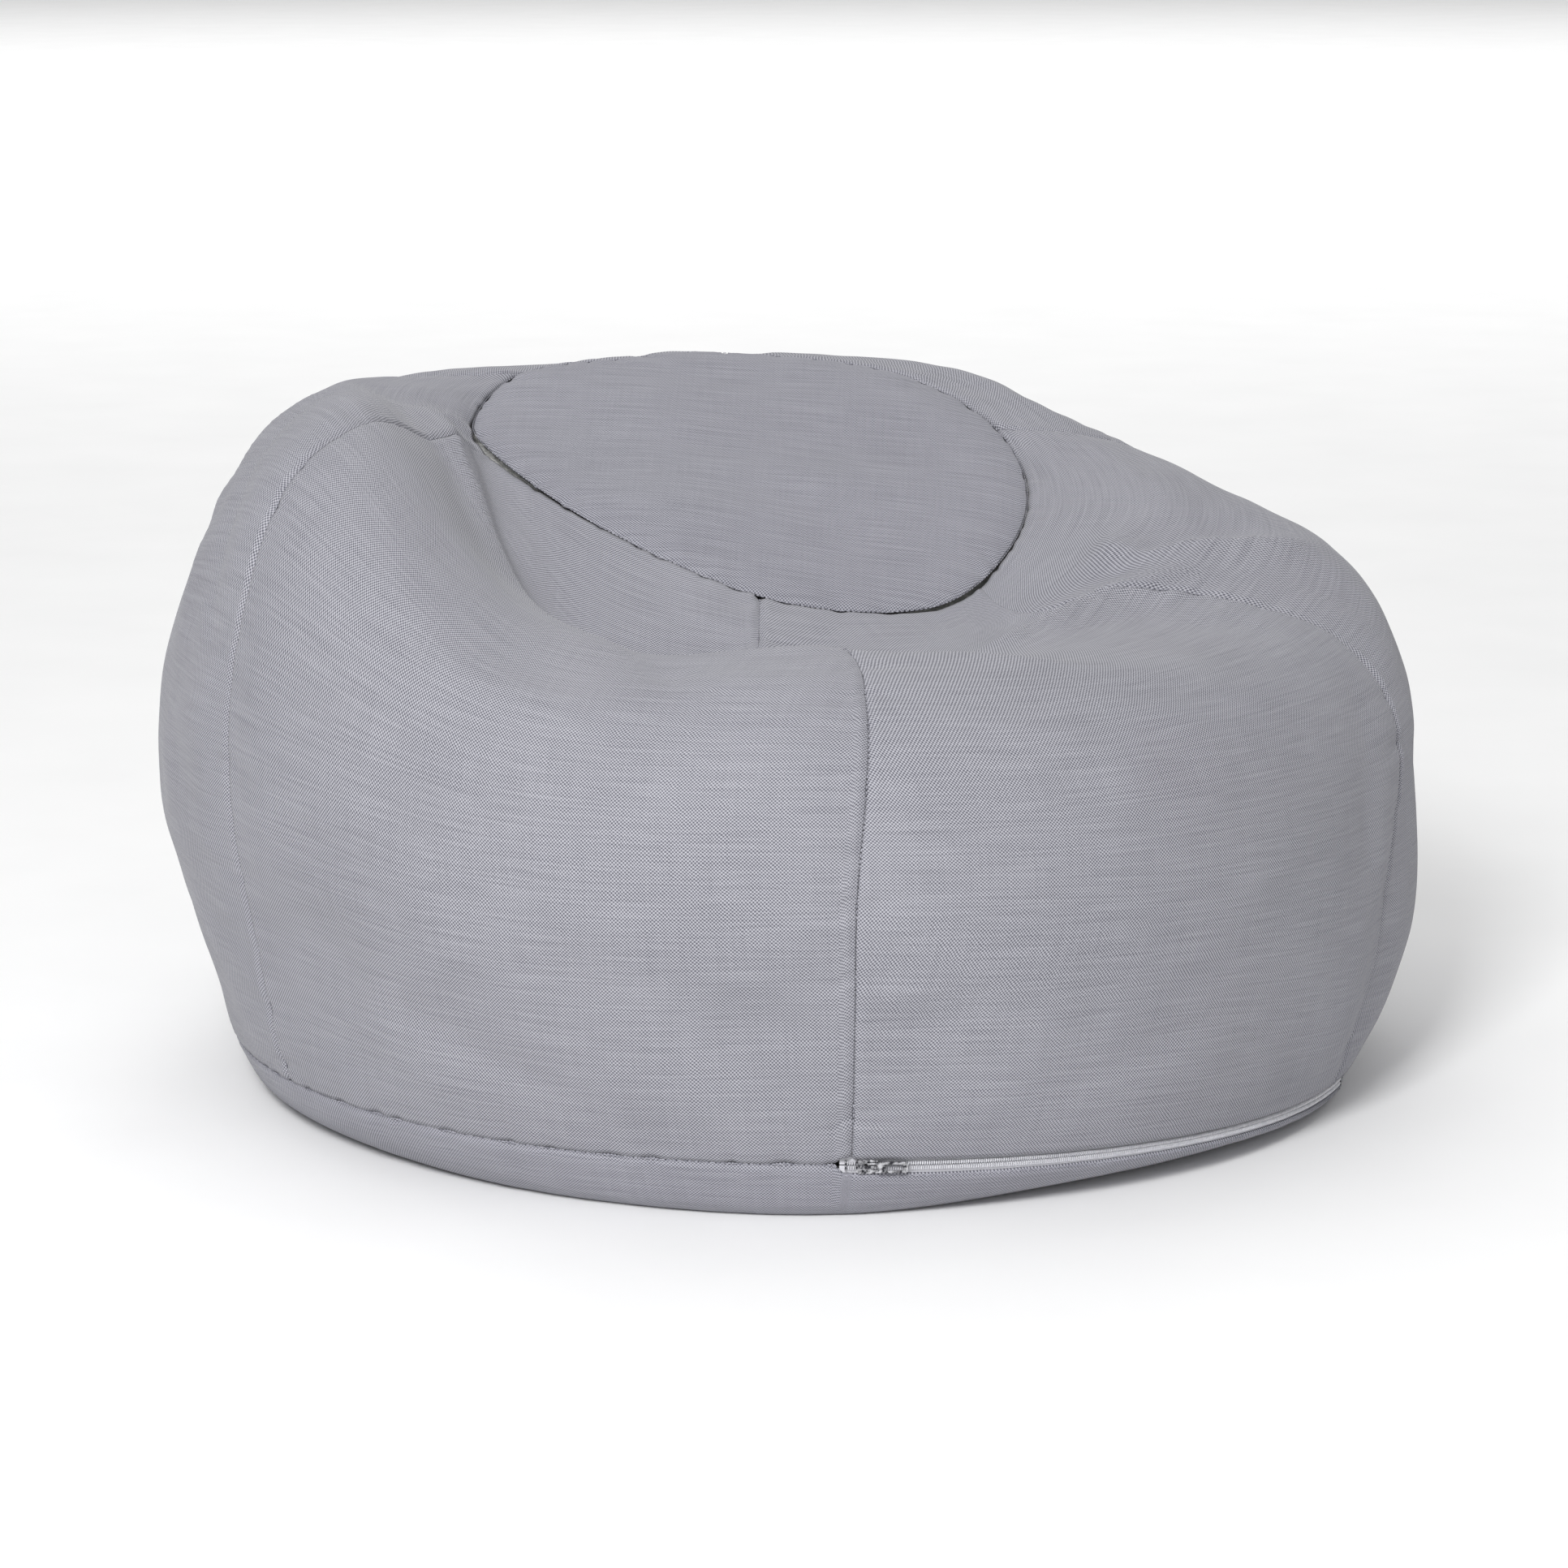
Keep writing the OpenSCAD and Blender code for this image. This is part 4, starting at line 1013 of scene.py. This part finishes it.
FINISH_OF = {"liner_zip_tape": zip_tape_weave, "liner_zip_coil": zip_coil_nylon, "liner_zip_stops": nickel,
             "liner_zip_slider": nickel, "liner_seam_thread": seam_thread, "bead_fill": beads,
             "zip_top_stops": nickel, "zip_bottom_stop": nickel, "zip_slider": nickel, "zip_pull_tab": nickel}
for node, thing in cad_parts.items():
    finish = FINISH_OF.get(node, liner_cloth if node.startswith("liner_") else None)
    if finish:
        for place in thing.material_slots:
            place.material = finish


# ---------------------------------------------------------------- floor, light and camera

deselect_all()
bpy.ops.mesh.primitive_plane_add(size=24, location=(0, 4, 0))
floor = bpy.context.active_object
floor.name = "studio_floor"
floor.data.materials.append(floor_paint)

VIEW_RISE, VIEW_FAR, VIEW_AIM = 12.5 * RAD, 3.2, .1966
camera_data = bpy.data.cameras.new("view")
camera_data.sensor_width = 36
camera_data.lens = 104.6
camera = bpy.data.objects.new("view", camera_data)
bpy.context.scene.collection.objects.link(camera)
camera.location = (0, -VIEW_FAR * math.cos(VIEW_RISE), VIEW_AIM + VIEW_FAR * math.sin(VIEW_RISE))
camera.rotation_euler = (math.pi / 2 - VIEW_RISE, 0, 0)
bpy.context.scene.camera = camera


def softbox(name, place, aim, size, power):
    """A rectangular studio light at a place, turned to face its aim."""
    data = bpy.data.lights.new(name, "AREA")
    data.shape = "RECTANGLE"
    data.size, data.size_y = size
    data.energy = power
    light = bpy.data.objects.new(name, data)
    bpy.context.scene.collection.objects.link(light)
    light.location = place
    light.rotation_euler = (Vector(aim) - Vector(place)).to_track_quat("-Z", "Y").to_euler()
    return light


softbox("key_left_front", (-.8, -3.2, 2.3), (0, 0, .25), (.9, .9), 108)
softbox("top", (-.3, .5, 3.0), (0, .1, 0), (2.4, 2.0), 20)
softbox("floor_wash", (0, 9, 4.5), (0, 9, 0), (14, 12), 620)

# a room that is bright behind the viewer and dim to the sides, so metal shows both
world = bpy.data.worlds.new("studio")
world.use_nodes = True
room = world.node_tree
facing = add(room, "SeparateXYZ", {"Vector": add(room, "TexCoord").outputs["Generated"]})
toward = maths(room, "ADD", maths(room, "MULTIPLY", facing.outputs[1], -.5), .5)
walls = shade(room, toward, [(.35, "#6e6e6e"), (.95, "#ffffff")])
room.links.new(walls, room.nodes["Background"].inputs["Color"])
room.nodes["Background"].inputs["Strength"].default_value = .8
bpy.context.scene.world = world
bpy.context.scene.view_settings.view_transform = "Standard"
